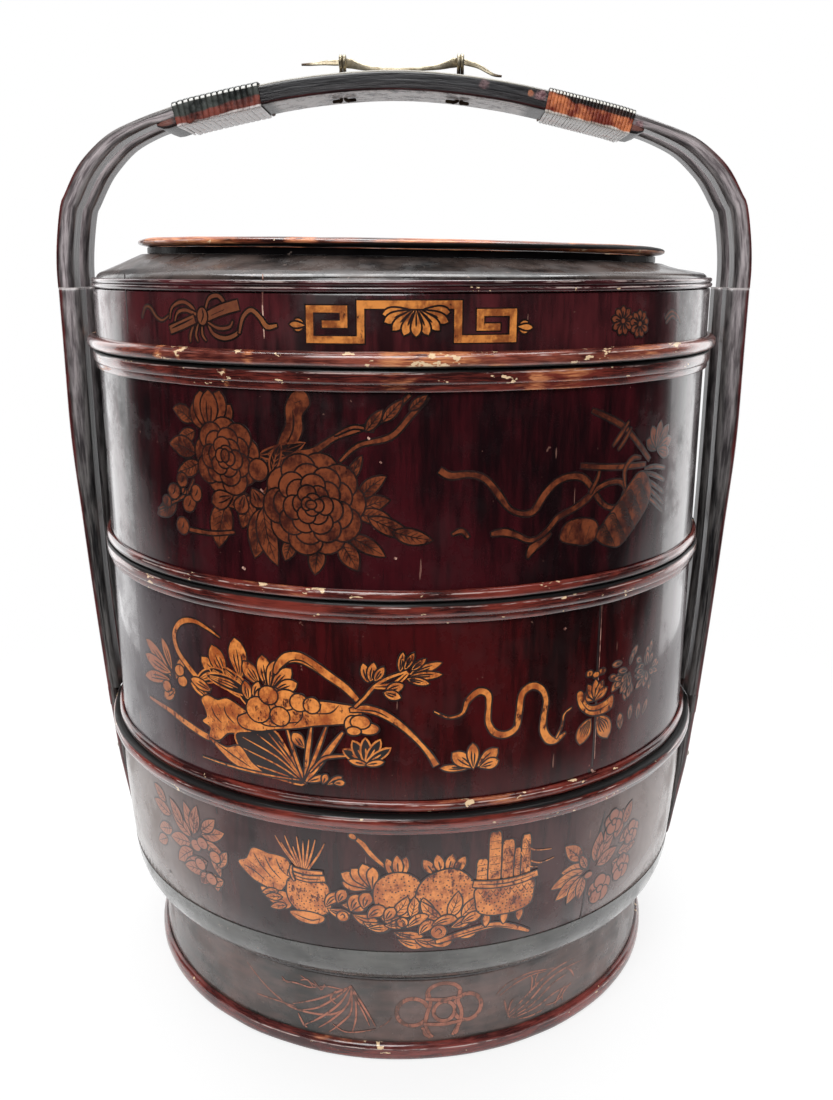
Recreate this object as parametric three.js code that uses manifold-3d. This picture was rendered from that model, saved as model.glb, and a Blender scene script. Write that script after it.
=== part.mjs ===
// A tiered lacquer basket: a footed base tray, two more trays and a lid, stacked inside a bentwood handle.
import * as THREE from 'three';
import { mergeVertices } from 'three/addons/utils/BufferGeometryUtils.js';
import Module from 'manifold-3d';

const wasm = await Module();
wasm.setup();

// Shared fits, in millimetres like every size here
const fitGap = 0.3; // between pieces that are glued, pegged or resting on each other
const ringSteps = 36; // facets round each turned or bent ring
const beadSteps = 4; // facets over a half-round hoop
const cutOverrun = 4; // how far a cutting shape runs past what it cuts

// Trays
const rimRadius = 165; // outside of the hoop round a tray's mouth
const rimProud = 3; // how far that hoop stands out from the wall
const rimHeight = 9.3;
const rimBandHeight = 3; // flat band under the half-round of the hoop
const rimBandProud = 1.4;
const wallThickness = 5;
const floorThickness = 5;
const trayHeight = 99.7;
const heelHeight = 5.3; // hoop round a tray's lower edge
const heelProud = 2.4;
const spigotDepth = 6.7; // ring under each tray and the lid, which drops into the tray below
const spigotThickness = 4;
const spigotPlay = 0.8;

// Base tray and foot
const footHeight = 45.7;
const footSetIn = 1.5; // from where the tray's underside starts to swell in to the foot
const footThickness = 5;
const footHoopHeight = 9.3;
const footHoopProud = 3;
const footHoopLift = 0.4; // the foot itself meets the ground, the hoop stays just clear
const waistHeight = 4.2;
const waistProud = 2.5;
const bowlSwell = 14; // from where the base tray's underside starts to swell out to the belly
const bellySetIn = 3.3; // from the mouth in to the belly
const bellyHeight = 22.5; // rise of the swelling underside
const baseWallHeight = 74.5; // from the belly to the mouth
const baseMouthProud = 1.3; // past the walls of the trays above
const baseRimProud = 4.8;
const baseRimHeight = 10.1;

// Lid
const lidWallProud = 0.8; // past the walls of the trays
const lidWallHeight = 29.8;
const lidRimProud = 4.8;
const lidRimHeight = 6.8;
const shoulderBeadHeight = 4.8;
const shoulderBeadProud = 0.9;
const domeSetIn = 1.9; // from the lid's side in to the dome
const domeThickness = 4.5;
const domeRise = 10.2; // from the shoulder to the flat that carries the gallery
const gallerySetIn = 26.4; // from the dome's edge in to the gallery's neck
const galleryNeckThickness = 4;
const galleryNeckHeight = 3;
const galleryRimProud = 4.5;
const galleryRimHeight = 4.2;

// Handle
const legClearance = 4.4; // between the lid's rim and the inside of a leg
const legThickness = 11.8;
const legStepDrop = 0.6; // from the top of the lid's side down to where the legs take over from the hoops
const legTipRise = 6.5; // from the foot of the bowl up to the legs' tips
const legOverRim = 4.7; // wood left outside the base rim in the notch
const legToeClearance = 1.5; // from a tray's rim to the leg just above the notch
const stripWidth = 13; // of one hoop, front to back
const stripSpacing = 13.2; // open distance between the front hoop and the back one
const archRise = 106.2; // from the leg step to the crown
const hoopSideThickness = 9;
const hoopGripThickness = 5.6;
const archSteps = 44;

// Grip
const padThickness = 3.8;
const padOverhang = 6; // past the last turn of the rattan
const gripSteps = 22;
const rattanWidth = 2.6; // of the flat strand, along the grip
const rattanThickness = 1.8;
const rattanSpacing = 0.9; // open between one turn and the next
const rattanStart = 74; // measured along the grip, from the crown to the first turn
const rattanTurns = 14;

// Brass fittings
const plateOverhang = 7.3; // past each split pin
const plateWidth = 9;
const plateThickness = 0.9;
const pinDistance = 30.7; // from the crown to a split pin
const eyeLift = 3.8; // from the crown to the underside of an eye
const eyeBoreRadius = 2.6;
const eyeThickness = 1.2;
const pinWidth = 3.4;
const pinDepth = 2.6;
const pinFootLength = 13;
const bailReach = 15; // from the axis to the middle of the bail
const bailTailReach = 21.5; // from an eye to the tip of the tail beyond it
const bailTailDrop = 7;
const strapWidth = 3.2;
const strapThickness = 1.6;
const studRise = 36; // from the belly up to the studs
const studHeadRadius = 2.4;
const studHeadHeight = 1.7;
const studShankRadius = 1;
const studShankLength = 3.4;

const wallRadius = rimRadius - rimProud;
const trayInnerRadius = wallRadius - wallThickness;
const spigotRadius = trayInnerRadius - spigotPlay;
const baseMouthRadius = wallRadius + baseMouthProud;
const baseRimRadius = baseMouthRadius + baseRimProud;
const bellyRadius = baseMouthRadius - bellySetIn;
const bowlSpringRadius = bellyRadius - bowlSwell;
const footRadius = bowlSpringRadius - footSetIn;
const lidWallRadius = wallRadius + lidWallProud;
const lidRimRadius = lidWallRadius + lidRimProud;
const domeRadius = lidWallRadius - domeSetIn;
const galleryNeckRadius = domeRadius - gallerySetIn;
const galleryRimRadius = galleryNeckRadius + galleryRimProud;
const waistTop = footHeight + fitGap + waistHeight;
const bowlBottom = waistTop + fitGap;
const bellyLevel = bowlBottom + bellyHeight;
const baseTop = bellyLevel + baseWallHeight;
const middleLevel = baseTop + fitGap;
const upperLevel = middleLevel + trayHeight + fitGap;
const lidLevel = upperLevel + trayHeight + fitGap;
const legTipHeight = bowlBottom + legTipRise;
const studHeight = bellyLevel + studRise;
const legStepHeight = lidLevel + lidWallHeight - legStepDrop;
const crownHeight = legStepHeight + archRise;
const rattanPitch = rattanWidth + rattanSpacing;
const gripHalfLength = rattanStart + rattanPitch * rattanTurns + padOverhang;
const plateHalfLength = pinDistance + plateOverhang;
const eyeRise = eyeLift + eyeBoreRadius + eyeThickness; // from the crown to the axis through the eyes
const legInnerRadius = lidRimRadius + legClearance;
const legOuterRadius = legInnerRadius + legThickness;
const stripInnerSide = stripSpacing / 2;
const stripMiddle = stripInnerSide + stripWidth / 2;

const lacquer = new THREE.MeshStandardMaterial({ color: 0x3a1416, roughness: 0.25, metalness: 0 });
const darkLacquer = new THREE.MeshStandardMaterial({ color: 0x1c1212, roughness: 0.25, metalness: 0 });
const wornRim = new THREE.MeshStandardMaterial({ color: 0x6b2f1c, roughness: 0.4, metalness: 0 });
const innerLacquer = new THREE.MeshStandardMaterial({ color: 0x2a1410, roughness: 0.5, metalness: 0 });
const handleWood = new THREE.MeshStandardMaterial({ color: 0x2b1c1b, roughness: 0.35, metalness: 0 });
const rattan = new THREE.MeshStandardMaterial({ color: 0x7a4326, roughness: 0.6, metalness: 0 });
const brass = new THREE.MeshStandardMaterial({ color: 0x8f8258, roughness: 0.4, metalness: 0.8 });

function point(x, y) {
  return new THREE.Vector2(x, y);
}

function named(name, geometry, material) {
  const mesh = new THREE.Mesh(geometry, material);
  mesh.name = name;
  return mesh;
}

// Turned and bent rings: a profile of radius and height, counter-clockwise, spun about the vertical axis

function spin(profile) {
  const geometry = new THREE.LatheGeometry(profile, ringSteps);
  return geometry.rotateX(Math.PI / 2);
}

function spinRing(profile) {
  return spin([...profile, profile[0].clone()]);
}

function plainRing(innerRadius, outerRadius, low, high) {
  return spinRing([
    point(innerRadius, low),
    point(outerRadius, low),
    point(outerRadius, high),
    point(innerRadius, high),
  ]);
}

function plainDisc(radius, low, high) {
  return spin([point(0, low), point(radius, low), point(radius, high), point(0, high)]);
}

function beadArc(innerRadius, outerRadius, low, high) {
  const arc = [];
  for (let step = 0; step <= beadSteps; step += 1) {
    const angle = Math.PI * (step / beadSteps - 1 / 2);
    const radius = innerRadius + (outerRadius - innerRadius) * Math.cos(angle);
    arc.push(point(radius, (low + high) / 2 + ((high - low) / 2) * Math.sin(angle)));
  }
  return arc;
}

function beadRing(innerRadius, outerRadius, low, high) {
  return spinRing(beadArc(innerRadius, outerRadius, low, high));
}

// A mouth hoop: a half-round over a flatter band
function mouthRing(innerRadius, outerRadius, low, high) {
  const bandRadius = innerRadius + rimBandProud;
  const bandTop = low + rimBandHeight;
  const bead = beadArc(bandRadius, outerRadius, bandTop, high);
  return spinRing([point(innerRadius, low), point(bandRadius, low), ...bead, point(innerRadius, high)]);
}

// Solids for cutting and joining

function toSolid(geometry) {
  const bare = geometry.clone();
  bare.deleteAttribute('normal');
  bare.deleteAttribute('uv');
  const merged = mergeVertices(bare.index ? bare.toNonIndexed() : bare);
  return new wasm.Manifold(
    new wasm.Mesh({
      numProp: 3,
      vertProperties: new Float32Array(merged.attributes.position.array),
      triVerts: new Uint32Array(merged.index.array),
    }),
  );
}

function fromSolid(solid) {
  const mesh = solid.getMesh();
  const geometry = new THREE.BufferGeometry();
  geometry.setAttribute('position', new THREE.BufferAttribute(mesh.vertProperties, 3));
  geometry.setIndex(new THREE.BufferAttribute(mesh.triVerts, 1));
  return geometry;
}

function cut(geometry, ...cutters) {
  return fromSolid(cutters.reduce((solid, cutter) => solid.subtract(toSolid(cutter)), toSolid(geometry)));
}

function join(geometry, ...others) {
  return fromSolid(others.reduce((solid, other) => solid.add(toSolid(other)), toSolid(geometry)));
}

// A closed outline in the upright plane across the basket, given its width from front to back
function uprightSlab(outline, width, middle) {
  const geometry = new THREE.ExtrudeGeometry(new THREE.Shape(outline), { depth: width, bevelEnabled: false });
  geometry.translate(0, 0, -width / 2);
  geometry.rotateX(Math.PI / 2);
  return geometry.translate(0, middle, 0);
}

function box(width, depth, height, x, y, z) {
  return new THREE.BoxGeometry(width, depth, height).translate(x, y, z);
}

// A strap or strand swept along points, each with a side direction that its section keeps
function sweep(path, sideways, halfWidth, halfThickness, sides) {
  const vertices = [];
  const indices = [];
  path.forEach((place, index) => {
    const ahead = path[Math.min(index + 1, path.length - 1)].clone();
    const along = ahead.sub(path[Math.max(index - 1, 0)]).normalize();
    const across = sideways[index].clone().addScaledVector(along, -sideways[index].dot(along)).normalize();
    const upward = new THREE.Vector3().crossVectors(along, across);
    for (let side = 0; side < sides; side += 1) {
      const angle = (2 * Math.PI * (side + 1 / 2)) / sides;
      const corner = place.clone().addScaledVector(across, halfWidth * Math.cos(angle));
      corner.addScaledVector(upward, halfThickness * Math.sin(angle));
      vertices.push(corner.x, corner.y, corner.z);
    }
  });
  for (let ring = 0; ring < path.length - 1; ring += 1) {
    for (let side = 0; side < sides; side += 1) {
      const next = (side + 1) % sides;
      const a = ring * sides + side;
      const b = ring * sides + next;
      indices.push(a, b, b + sides, a, b + sides, a + sides);
    }
  }
  const last = (path.length - 1) * sides;
  for (let side = 1; side < sides - 1; side += 1) {
    indices.push(0, side + 1, side, last, last + side, last + side + 1);
  }
  const geometry = new THREE.BufferGeometry();
  geometry.setAttribute('position', new THREE.Float32BufferAttribute(vertices, 3));
  geometry.setIndex(indices);
  return geometry;
}

// Base tray on its foot

const baseFlareShares = [
  [0.23, 0.42],
  [0.57, 0.91],
  [0.87, 1],
]; // height and flare, from the belly to the mouth
const bowlSteps = 5;

// The swelling underside, from its spring up to the belly
function bowlArc(springRadius, swell, rise) {
  const arc = [];
  for (let step = 0; step <= bowlSteps; step += 1) {
    const angle = (Math.PI / 2) * (step / bowlSteps);
    arc.push(point(springRadius + swell * Math.sin(angle), bellyLevel - rise * Math.cos(angle)));
  }
  return arc;
}

// The outside of the wall above it, given its foot
function wallFlare(foot) {
  const flare = baseFlareShares.map(([heightShare, flareShare]) => point(
    bellyRadius + bellySetIn * flareShare,
    bellyLevel + baseWallHeight * heightShare,
  ));
  return [point(bellyRadius, foot), ...flare, point(baseMouthRadius, baseTop)];
}

const bowlOutside = bowlArc(bowlSpringRadius, bowlSwell, bellyHeight);

function bowlRing() {
  const springRadius = bowlSpringRadius - wallThickness;
  const inside = bowlArc(springRadius, bowlSwell, bellyHeight - wallThickness).reverse();
  return spinRing([...bowlOutside, ...inside, point(springRadius, bowlBottom)]);
}

function baseWallRing() {
  const foot = bellyLevel + fitGap;
  const inside = [
    point(baseMouthRadius - wallThickness, baseTop),
    point(bellyRadius - wallThickness, foot),
  ];
  return spinRing([...wallFlare(foot), ...inside]);
}

const baseFloorRadius = bowlSpringRadius - wallThickness - fitGap;
const baseRimInnerRadius = baseMouthRadius + fitGap;
const baseRimLow = baseTop - baseRimHeight;

function addBase(group) {
  const footHoopTop = footHoopLift + footHoopHeight;
  const footHoopInner = footRadius + fitGap;
  const footHoop = beadRing(footHoopInner, footHoopInner + footHoopProud, footHoopLift, footHoopTop);
  group.add(named('foot_hoop', footHoop, wornRim));
  const drum = plainRing(footRadius - footThickness, footRadius, 0, footHeight);
  group.add(named('foot_drum', drum, darkLacquer));
  const waistInner = baseFloorRadius + fitGap;
  const waist = beadRing(waistInner, footRadius + waistProud, footHeight + fitGap, waistTop);
  group.add(named('waist_moulding', waist, darkLacquer));
  const floorLow = footHeight + fitGap;
  const baseFloor = plainDisc(baseFloorRadius, floorLow, floorLow + floorThickness);
  group.add(named('base_floor', baseFloor, innerLacquer));
  group.add(named('base_bowl', bowlRing(), lacquer));
  group.add(named('base_wall', baseWallRing(), lacquer));
  group.add(named('base_rim', mouthRing(baseRimInnerRadius, baseRimRadius, baseRimLow, baseTop), wornRim));
}

// Trays and lid, each drawn from its own lower edge

function spigotRing(low, high) {
  return plainRing(spigotRadius - spigotThickness, spigotRadius, low, high);
}

function makeTray(name, level) {
  const tray = new THREE.Group();
  tray.position.z = level;
  const hoopInner = wallRadius + fitGap;
  const floorRadius = trayInnerRadius - fitGap;
  tray.add(named(`${name}_wall`, plainRing(trayInnerRadius, wallRadius, 0, trayHeight), lacquer));
  tray.add(named(`${name}_floor`, plainDisc(floorRadius, 0, floorThickness), innerLacquer));
  const rim = mouthRing(hoopInner, rimRadius, trayHeight - rimHeight, trayHeight);
  tray.add(named(`${name}_rim`, rim, wornRim));
  tray.add(named(`${name}_heel_hoop`, beadRing(hoopInner, wallRadius + heelProud, 0, heelHeight), wornRim));
  tray.add(named(`${name}_spigot`, spigotRing(-spigotDepth, -fitGap), innerLacquer));
  return tray;
}

function domeProfile() {
  const seat = lidWallHeight + fitGap;
  const shoulder = seat + shoulderBeadHeight;
  const flat = shoulder + domeRise;
  const underFlat = flat - domeThickness;
  const flatRadius = galleryNeckRadius + galleryNeckThickness / 2;
  const underSlopeRadius = domeRadius - 2 * domeThickness;
  return [
    point(0, underFlat),
    point(flatRadius - domeThickness, underFlat),
    point(underSlopeRadius, seat),
    point(domeRadius, seat),
    point(domeRadius, shoulder),
    point(flatRadius, flat),
    point(0, flat),
  ];
}

function makeLid() {
  const lid = new THREE.Group();
  lid.position.z = lidLevel;
  const wallInner = spigotRadius + fitGap;
  lid.add(named('lid_wall', plainRing(wallInner, lidWallRadius, 0, lidWallHeight), lacquer));
  lid.add(named('lid_rim', beadRing(lidWallRadius + fitGap, lidRimRadius, 0, lidRimHeight), wornRim));
  lid.add(named('lid_spigot', spigotRing(-spigotDepth, spigotDepth), innerLacquer));
  lid.add(named('lid_dome', spin(domeProfile()), darkLacquer));
  const seat = lidWallHeight + fitGap;
  const shoulder = seat + shoulderBeadHeight;
  const middle = (seat + shoulder) / 2;
  const beadInner = domeRadius + fitGap;
  const beadOuter = lidWallRadius + shoulderBeadProud;
  const lowerBead = beadArc(beadInner + shoulderBeadProud, beadOuter, seat, middle);
  const upperBead = beadArc(beadInner + shoulderBeadProud, beadOuter, middle, shoulder).slice(1);
  const beads = [point(beadInner, seat), ...lowerBead, ...upperBead, point(beadInner, shoulder)];
  lid.add(named('lid_shoulder_bead', spinRing(beads), darkLacquer));
  const neckLow = shoulder + domeRise + fitGap;
  const neckHigh = neckLow + galleryNeckHeight;
  const neckInner = galleryNeckRadius - galleryNeckThickness;
  lid.add(named('gallery_neck', plainRing(neckInner, galleryNeckRadius, neckLow, neckHigh), darkLacquer));
  const galleryLow = neckHigh + fitGap;
  const gallery = beadRing(neckInner, galleryRimRadius, galleryLow, galleryLow + galleryRimHeight);
  lid.add(named('gallery_rim', gallery, wornRim));
  return lid;
}

// Legs: outside and inside faces as shares of the way from the base rim up to the hoops

const legOuterShares = [
  [1, 1],
  [0.838, 1],
  [0.655, 0.97],
  [0.463, 0.718],
  [0.263, 0.436],
  [0.054, 0.1],
]; // height, reach
const legTailShares = [
  [0.843, 0.903],
  [0.55, 0.724],
  [0.234, 0.393],
  [0.082, 0.248],
  [0.023, 0.17],
]; // height, reach
const legInnerShares = [
  [0.032, 0],
  [0.16, 0.42],
  [0.301, 0.73],
  [0.459, 0.91],
  [0.673, 1],
  [1, 1],
]; // height, reach
const notchLevel = baseTop - baseRimHeight / 2;
const notchOuter = baseRimRadius + legOverRim;
const legTipRadius = bowlSpringRadius + (bellyRadius - bowlSpringRadius) * (7 / 8);

function legOutside() {
  const upper = legOuterShares.map(([heightShare, reachShare]) => point(
    notchOuter + (legOuterRadius - notchOuter) * reachShare,
    notchLevel + (legStepHeight - notchLevel) * heightShare,
  ));
  const lower = legTailShares.map(([heightShare, reachShare]) => point(
    legTipRadius + (notchOuter - legTipRadius) * reachShare,
    legTipHeight + (notchLevel - legTipHeight) * heightShare,
  ));
  return [...upper, point(notchOuter, notchLevel), ...lower, point(legTipRadius, legTipHeight)];
}

function legInside() {
  const toeRadius = rimRadius + legToeClearance;
  return legInnerShares.map(([heightShare, reachShare]) => point(
    toeRadius + (legInnerRadius - toeRadius) * reachShare,
    notchLevel + (legStepHeight - notchLevel) * heightShare,
  ));
}

// What the legs are notched over: the base tray with its rim, and the fit all round
function baseKeepOut() {
  const wall = [...bowlOutside.slice(0, -1), ...wallFlare(bellyLevel)];
  const clear = wall.slice(0, -1).map((place) => point(place.x + fitGap, place.y));
  const rimOutside = baseRimRadius + fitGap;
  const rimTop = baseTop + fitGap;
  return spin([
    point(0, bowlBottom),
    ...clear,
    point(baseMouthRadius + fitGap, baseRimLow - fitGap),
    point(rimOutside, baseRimLow - fitGap),
    point(rimOutside, rimTop),
    point(0, rimTop),
  ]);
}

function outsideFaceAt(height) {
  const face = legOutside();
  const above = face.findLastIndex((place) => place.y >= height);
  const upper = face[above];
  const lower = face[above + 1];
  const share = (height - lower.y) / (upper.y - lower.y);
  return { radius: lower.x + (upper.x - lower.x) * share, slope: (upper.x - lower.x) / (upper.y - lower.y) };
}

const studFace = outsideFaceAt(studHeight);

// A dome-headed stud on the right-hand side, pointing in along its shank
function studGeometry(extra) {
  const headSteps = 3;
  const shankEnd = -studShankLength - extra;
  const profile = [point(0, shankEnd), point(studShankRadius + extra, shankEnd)];
  if (extra === 0) {
    profile.push(point(studShankRadius, fitGap));
    for (let step = 0; step < headSteps; step += 1) {
      const angle = (Math.PI / 2) * (step / headSteps);
      profile.push(point(studHeadRadius * Math.cos(angle), fitGap + studHeadHeight * Math.sin(angle)));
    }
    profile.push(point(0, fitGap + studHeadHeight));
  } else {
    profile.push(point(studShankRadius + extra, cutOverrun), point(0, cutOverrun));
  }
  const geometry = new THREE.LatheGeometry(profile, 12);
  geometry.rotateZ(-Math.PI / 2);
  geometry.rotateY(Math.atan(studFace.slope));
  return geometry.translate(studFace.radius, 0, studHeight);
}

function addLegs(group) {
  const reachIn = trayInnerRadius;
  const outline = [
    ...legOutside(),
    point(reachIn, legTipHeight),
    point(reachIn, baseTop),
    point(rimRadius + legToeClearance, baseTop),
    ...legInside(),
  ];
  const keepOut = baseKeepOut();
  [['front', -stripMiddle], ['back', stripMiddle]].forEach(([facing, middle]) => {
    [['left', Math.PI], ['right', 0]].forEach(([side, turn]) => {
      const sideways = turn === 0 ? middle : -middle;
      const whole = uprightSlab(outline, stripWidth, sideways);
      const leg = cut(whole, keepOut, studGeometry(fitGap).translate(0, sideways, 0));
      const stud = studGeometry(0).translate(0, sideways, 0);
      group.add(named(`${facing}_${side}_leg`, leg.rotateZ(turn), handleWood));
      group.add(named(`${facing}_${side}_stud`, stud.rotateZ(turn), brass));
    });
  });
}

// Handle arch: half of it, from the crown down to the leg step, as shares of its reach and rise

const archShares = [
  [0.275, 0.962],
  [0.552, 0.866],
  [0.665, 0.813],
  [0.777, 0.745],
  [0.836, 0.693],
  [0.893, 0.612],
  [0.926, 0.545],
  [0.958, 0.45],
  [0.976, 0.388],
  [0.993, 0.23],
  [1, 0.1],
  [1, 0],
]; // reach, rise

function archCurve() {
  const half = archShares.map(([reachShare, riseShare]) => point(
    legOuterRadius * reachShare,
    legStepHeight + fitGap + (archRise - fitGap) * riseShare,
  ));
  const mirrored = half.map((place) => point(-place.x, place.y)).reverse();
  return new THREE.SplineCurve([...mirrored, point(0, crownHeight), ...half]);
}

const arch = archCurve();
const archLength = arch.getLength();

// A place at a distance along the arch from the crown, and a depth below its top face
function archPlace(distance, depth) {
  const share = 1 / 2 + distance / archLength;
  const place = arch.getPointAt(share);
  const along = arch.getTangentAt(share);
  return point(place.x + along.y * depth, place.y - along.x * depth);
}

function archDirection(distance) {
  return arch.getTangentAt(1 / 2 + distance / archLength);
}

function hoopThickness(distance) {
  const sideStart = gripHalfLength;
  const sideEnd = archLength / 2;
  const ease = THREE.MathUtils.smoothstep(Math.abs(distance), sideStart, (sideStart + sideEnd) / 2);
  return hoopGripThickness + (hoopSideThickness - hoopGripThickness) * ease;
}

// A layer of the arch between two depths, out to a distance each side of the crown
function archLayer(halfLength, steps, topDepth, bottomDepth) {
  const top = [];
  const bottom = [];
  for (let step = 0; step <= steps; step += 1) {
    const distance = halfLength * ((2 * step) / steps - 1);
    top.push(archPlace(distance, topDepth(distance)));
    bottom.push(archPlace(distance, bottomDepth(distance)));
  }
  return [...top, ...bottom.reverse()];
}

const padTopDepth = hoopGripThickness + fitGap;
const padBottomDepth = padTopDepth + padThickness;

// The pad's underside rises to its top face at the ends, as a rounded nose
function padDepth(distance) {
  const noseLength = 2 * padThickness;
  const fromEnd = Math.min((gripHalfLength - Math.abs(distance)) / noseLength, 1);
  const noseShare = 0.35;
  return padTopDepth + padThickness * (noseShare + (1 - noseShare) * Math.sqrt(1 - (1 - fromEnd) ** 2));
}

function pinPlace(side) {
  const top = archPlace(side * pinDistance, 0);
  const under = archPlace(side * pinDistance, padBottomDepth);
  const direction = archDirection(side * pinDistance);
  return { x: top.x, under: under.y, tilt: Math.atan2(direction.y, direction.x) };
}

const pinSides = [['left', pinPlace(-1)], ['right', pinPlace(1)]];

function pinHoles() {
  const height = 2 * (padBottomDepth + cutOverrun);
  return pinSides.map(([, place]) => box(
    pinWidth + 2 * fitGap,
    pinDepth + 2 * fitGap,
    height,
    place.x,
    0,
    crownHeight - height / 4,
  ));
}

function addHandle(group) {
  const hoopOutline = archLayer(archLength / 2, archSteps, () => 0, hoopThickness);
  group.add(named('front_hoop', uprightSlab(hoopOutline, stripWidth, -stripMiddle), handleWood));
  group.add(named('back_hoop', uprightSlab(hoopOutline, stripWidth, stripMiddle), handleWood));
  const coreWidth = stripSpacing - 2 * fitGap;
  const coreOutline = archLayer(gripHalfLength, gripSteps, () => 0, () => hoopGripThickness);
  group.add(named('grip_core', cut(uprightSlab(coreOutline, coreWidth, 0), ...pinHoles()), handleWood));
  const padOutline = archLayer(gripHalfLength, gripSteps, () => padTopDepth, padDepth);
  const padWidth = stripSpacing + 2 * stripWidth;
  group.add(named('grip_pad', cut(uprightSlab(padOutline, padWidth, 0), ...pinHoles()), handleWood));
}

// Rattan bindings: one strand wound round the hoops, the core and the pad

const cornerSteps = 2;
const rattanSides = 6;

// One turn as places round the grip: across, and depth below the top face
function turnPlaces() {
  const stand = fitGap + rattanThickness / 2;
  const halfWidth = stripInnerSide + stripWidth;
  const corners = [
    [halfWidth, padBottomDepth, Math.PI / 2],
    [halfWidth, 0, 0],
    [-halfWidth, 0, -Math.PI / 2],
    [-halfWidth, padBottomDepth, -Math.PI],
  ];
  const places = [];
  corners.forEach(([across, depth, start]) => {
    for (let step = 0; step <= cornerSteps; step += 1) {
      const angle = start - (Math.PI / 2) * (step / cornerSteps);
      places.push([across + stand * Math.cos(angle), depth + stand * Math.sin(angle)]);
    }
  });
  return places;
}

function rattanWinding(side) {
  const places = turnPlaces();
  const path = [];
  const sideways = [];
  const placeStrand = (distance, across, depth) => {
    const spot = archPlace(side * distance, depth);
    const direction = archDirection(side * distance);
    path.push(new THREE.Vector3(spot.x, across, spot.y));
    sideways.push(new THREE.Vector3(direction.x, 0, direction.y));
  };
  const [firstAcross, firstDepth] = places[0];
  placeStrand(rattanStart, firstAcross - rattanWidth, firstDepth);
  for (let turn = 0; turn < rattanTurns; turn += 1) {
    places.forEach(([across, depth], index) => {
      placeStrand(rattanStart + rattanPitch * (turn + index / places.length), across, depth);
    });
  }
  const [lastAcross, lastDepth] = places[places.length - 1];
  const lastDistance = rattanStart + rattanPitch * (rattanTurns - 1 / places.length);
  placeStrand(lastDistance, lastAcross + rattanWidth, lastDepth);
  return { path, sideways };
}

// Least distance between the strand's surface on one turn and on the next, along straight stretches too
function leastGap(path) {
  const finer = 8;
  const dense = [];
  for (let index = 0; index < path.length - 1; index += 1) {
    for (let step = 0; step < finer; step += 1) {
      dense.push(path[index].clone().lerp(path[index + 1], step / finer));
    }
  }
  const apart = (path.length / rattanTurns / 2) * finer;
  let least = Infinity;
  for (let first = 0; first < dense.length; first += 1) {
    for (let second = Math.ceil(first + apart); second < dense.length; second += 1) {
      least = Math.min(least, dense[first].distanceTo(dense[second]));
    }
  }
  return least - rattanWidth;
}

function addRattan(group) {
  [['left', -1], ['right', 1]].forEach(([name, side]) => {
    const { path, sideways } = rattanWinding(side);
    const flipped = side < 0 ? sideways.map((direction) => direction.negate()) : sideways;
    const strand = sweep(path, flipped, rattanWidth / 2, rattanThickness / 2, rattanSides);
    group.add(named(`${name}_rattan_binding`, strand, rattan));
    console.log(`${name}_rattan_binding: least gap between turns ${leastGap(path).toFixed(2)} mm`);
  });
}

// Brass: a plate along the crown, two split pins with eyes, and the bail that swings in them

function splitPin(place) {
  const eyeOuter = eyeBoreRadius + eyeThickness;
  const eyeLevel = crownHeight + eyeRise;
  const eyeSteps = 16;
  const boreLength = pinWidth + cutOverrun;
  const upright = (geometry) => geometry.rotateZ(Math.PI / 2).translate(place.x, 0, eyeLevel);
  const disc = upright(new THREE.CylinderGeometry(eyeOuter, eyeOuter, pinWidth, eyeSteps));
  const bore = upright(new THREE.CylinderGeometry(eyeBoreRadius, eyeBoreRadius, boreLength, eyeSteps));
  const footMiddle = place.under - fitGap - eyeThickness / 2;
  const shankTop = eyeLevel - eyeBoreRadius;
  const shank = box(pinWidth, pinDepth, shankTop - footMiddle, place.x, 0, (shankTop + footMiddle) / 2);
  const foot = new THREE.BoxGeometry(pinFootLength, pinDepth, eyeThickness).rotateY(-place.tilt);
  return cut(join(disc, shank, foot.translate(place.x, 0, footMiddle)), bore);
}

const bailShares = [
  [0, 1, 0],
  [0.33, 0.93, 0],
  [0.6, 0.7, 0],
  [0.83, 0.22, 0],
]; // along from the crown to an eye, reach, none of the drop
const tailShares = [
  [0.18, 0.02, 0.06],
  [0.5, -0.02, 0.42],
  [0.78, 0.03, 0.88],
  [1, 0.05, 1],
]; // along the tail, reach, drop

function bailPath() {
  const half = (side) => {
    const dropSide = side > 0 ? bailTailDrop : bailTailDrop / 9;
    const eyeDistance = pinSides[1][1].x;
    const bow = bailShares.map(([alongShare, reachShare]) => (
      new THREE.Vector3(side * eyeDistance * alongShare, -bailReach * reachShare, 0)));
    const eye = new THREE.Vector3(side * eyeDistance, 0, 0);
    const tail = tailShares.map(([alongShare, reachShare, dropShare]) => new THREE.Vector3(
      side * (eyeDistance + bailTailReach * alongShare),
      -bailReach * reachShare,
      -dropSide * dropShare,
    ));
    return [...bow, eye, ...tail];
  };
  const places = [...half(-1).reverse(), ...half(1).slice(1)];
  return new THREE.CatmullRomCurve3(places, false, 'centripetal').getSpacedPoints(36);
}

function makeBail() {
  const bail = new THREE.Group();
  bail.position.z = crownHeight + eyeRise;
  const drop = eyeRise - fitGap - strapThickness / 2 - strapWidth / 4;
  const lean = Math.asin(drop / bailReach);
  const path = bailPath();
  const sideways = path.map(() => new THREE.Vector3(0, 1, 0));
  const strap = sweep(path, sideways, strapWidth / 2, strapThickness / 2, 8).rotateX(lean);
  bail.add(named('brass_bail', strap, brass));
  return bail;
}

function addBrass(group) {
  const plateTop = -fitGap - plateThickness;
  const plateOutline = archLayer(plateHalfLength, 8, () => plateTop, () => -fitGap);
  const plate = uprightSlab(plateOutline, plateWidth, 0);
  group.add(named('brass_plate', cut(plate, ...pinHoles()), brass));
  pinSides.forEach(([name, place]) => {
    group.add(named(`${name}_split_pin`, splitPin(place), brass));
  });
}

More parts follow.
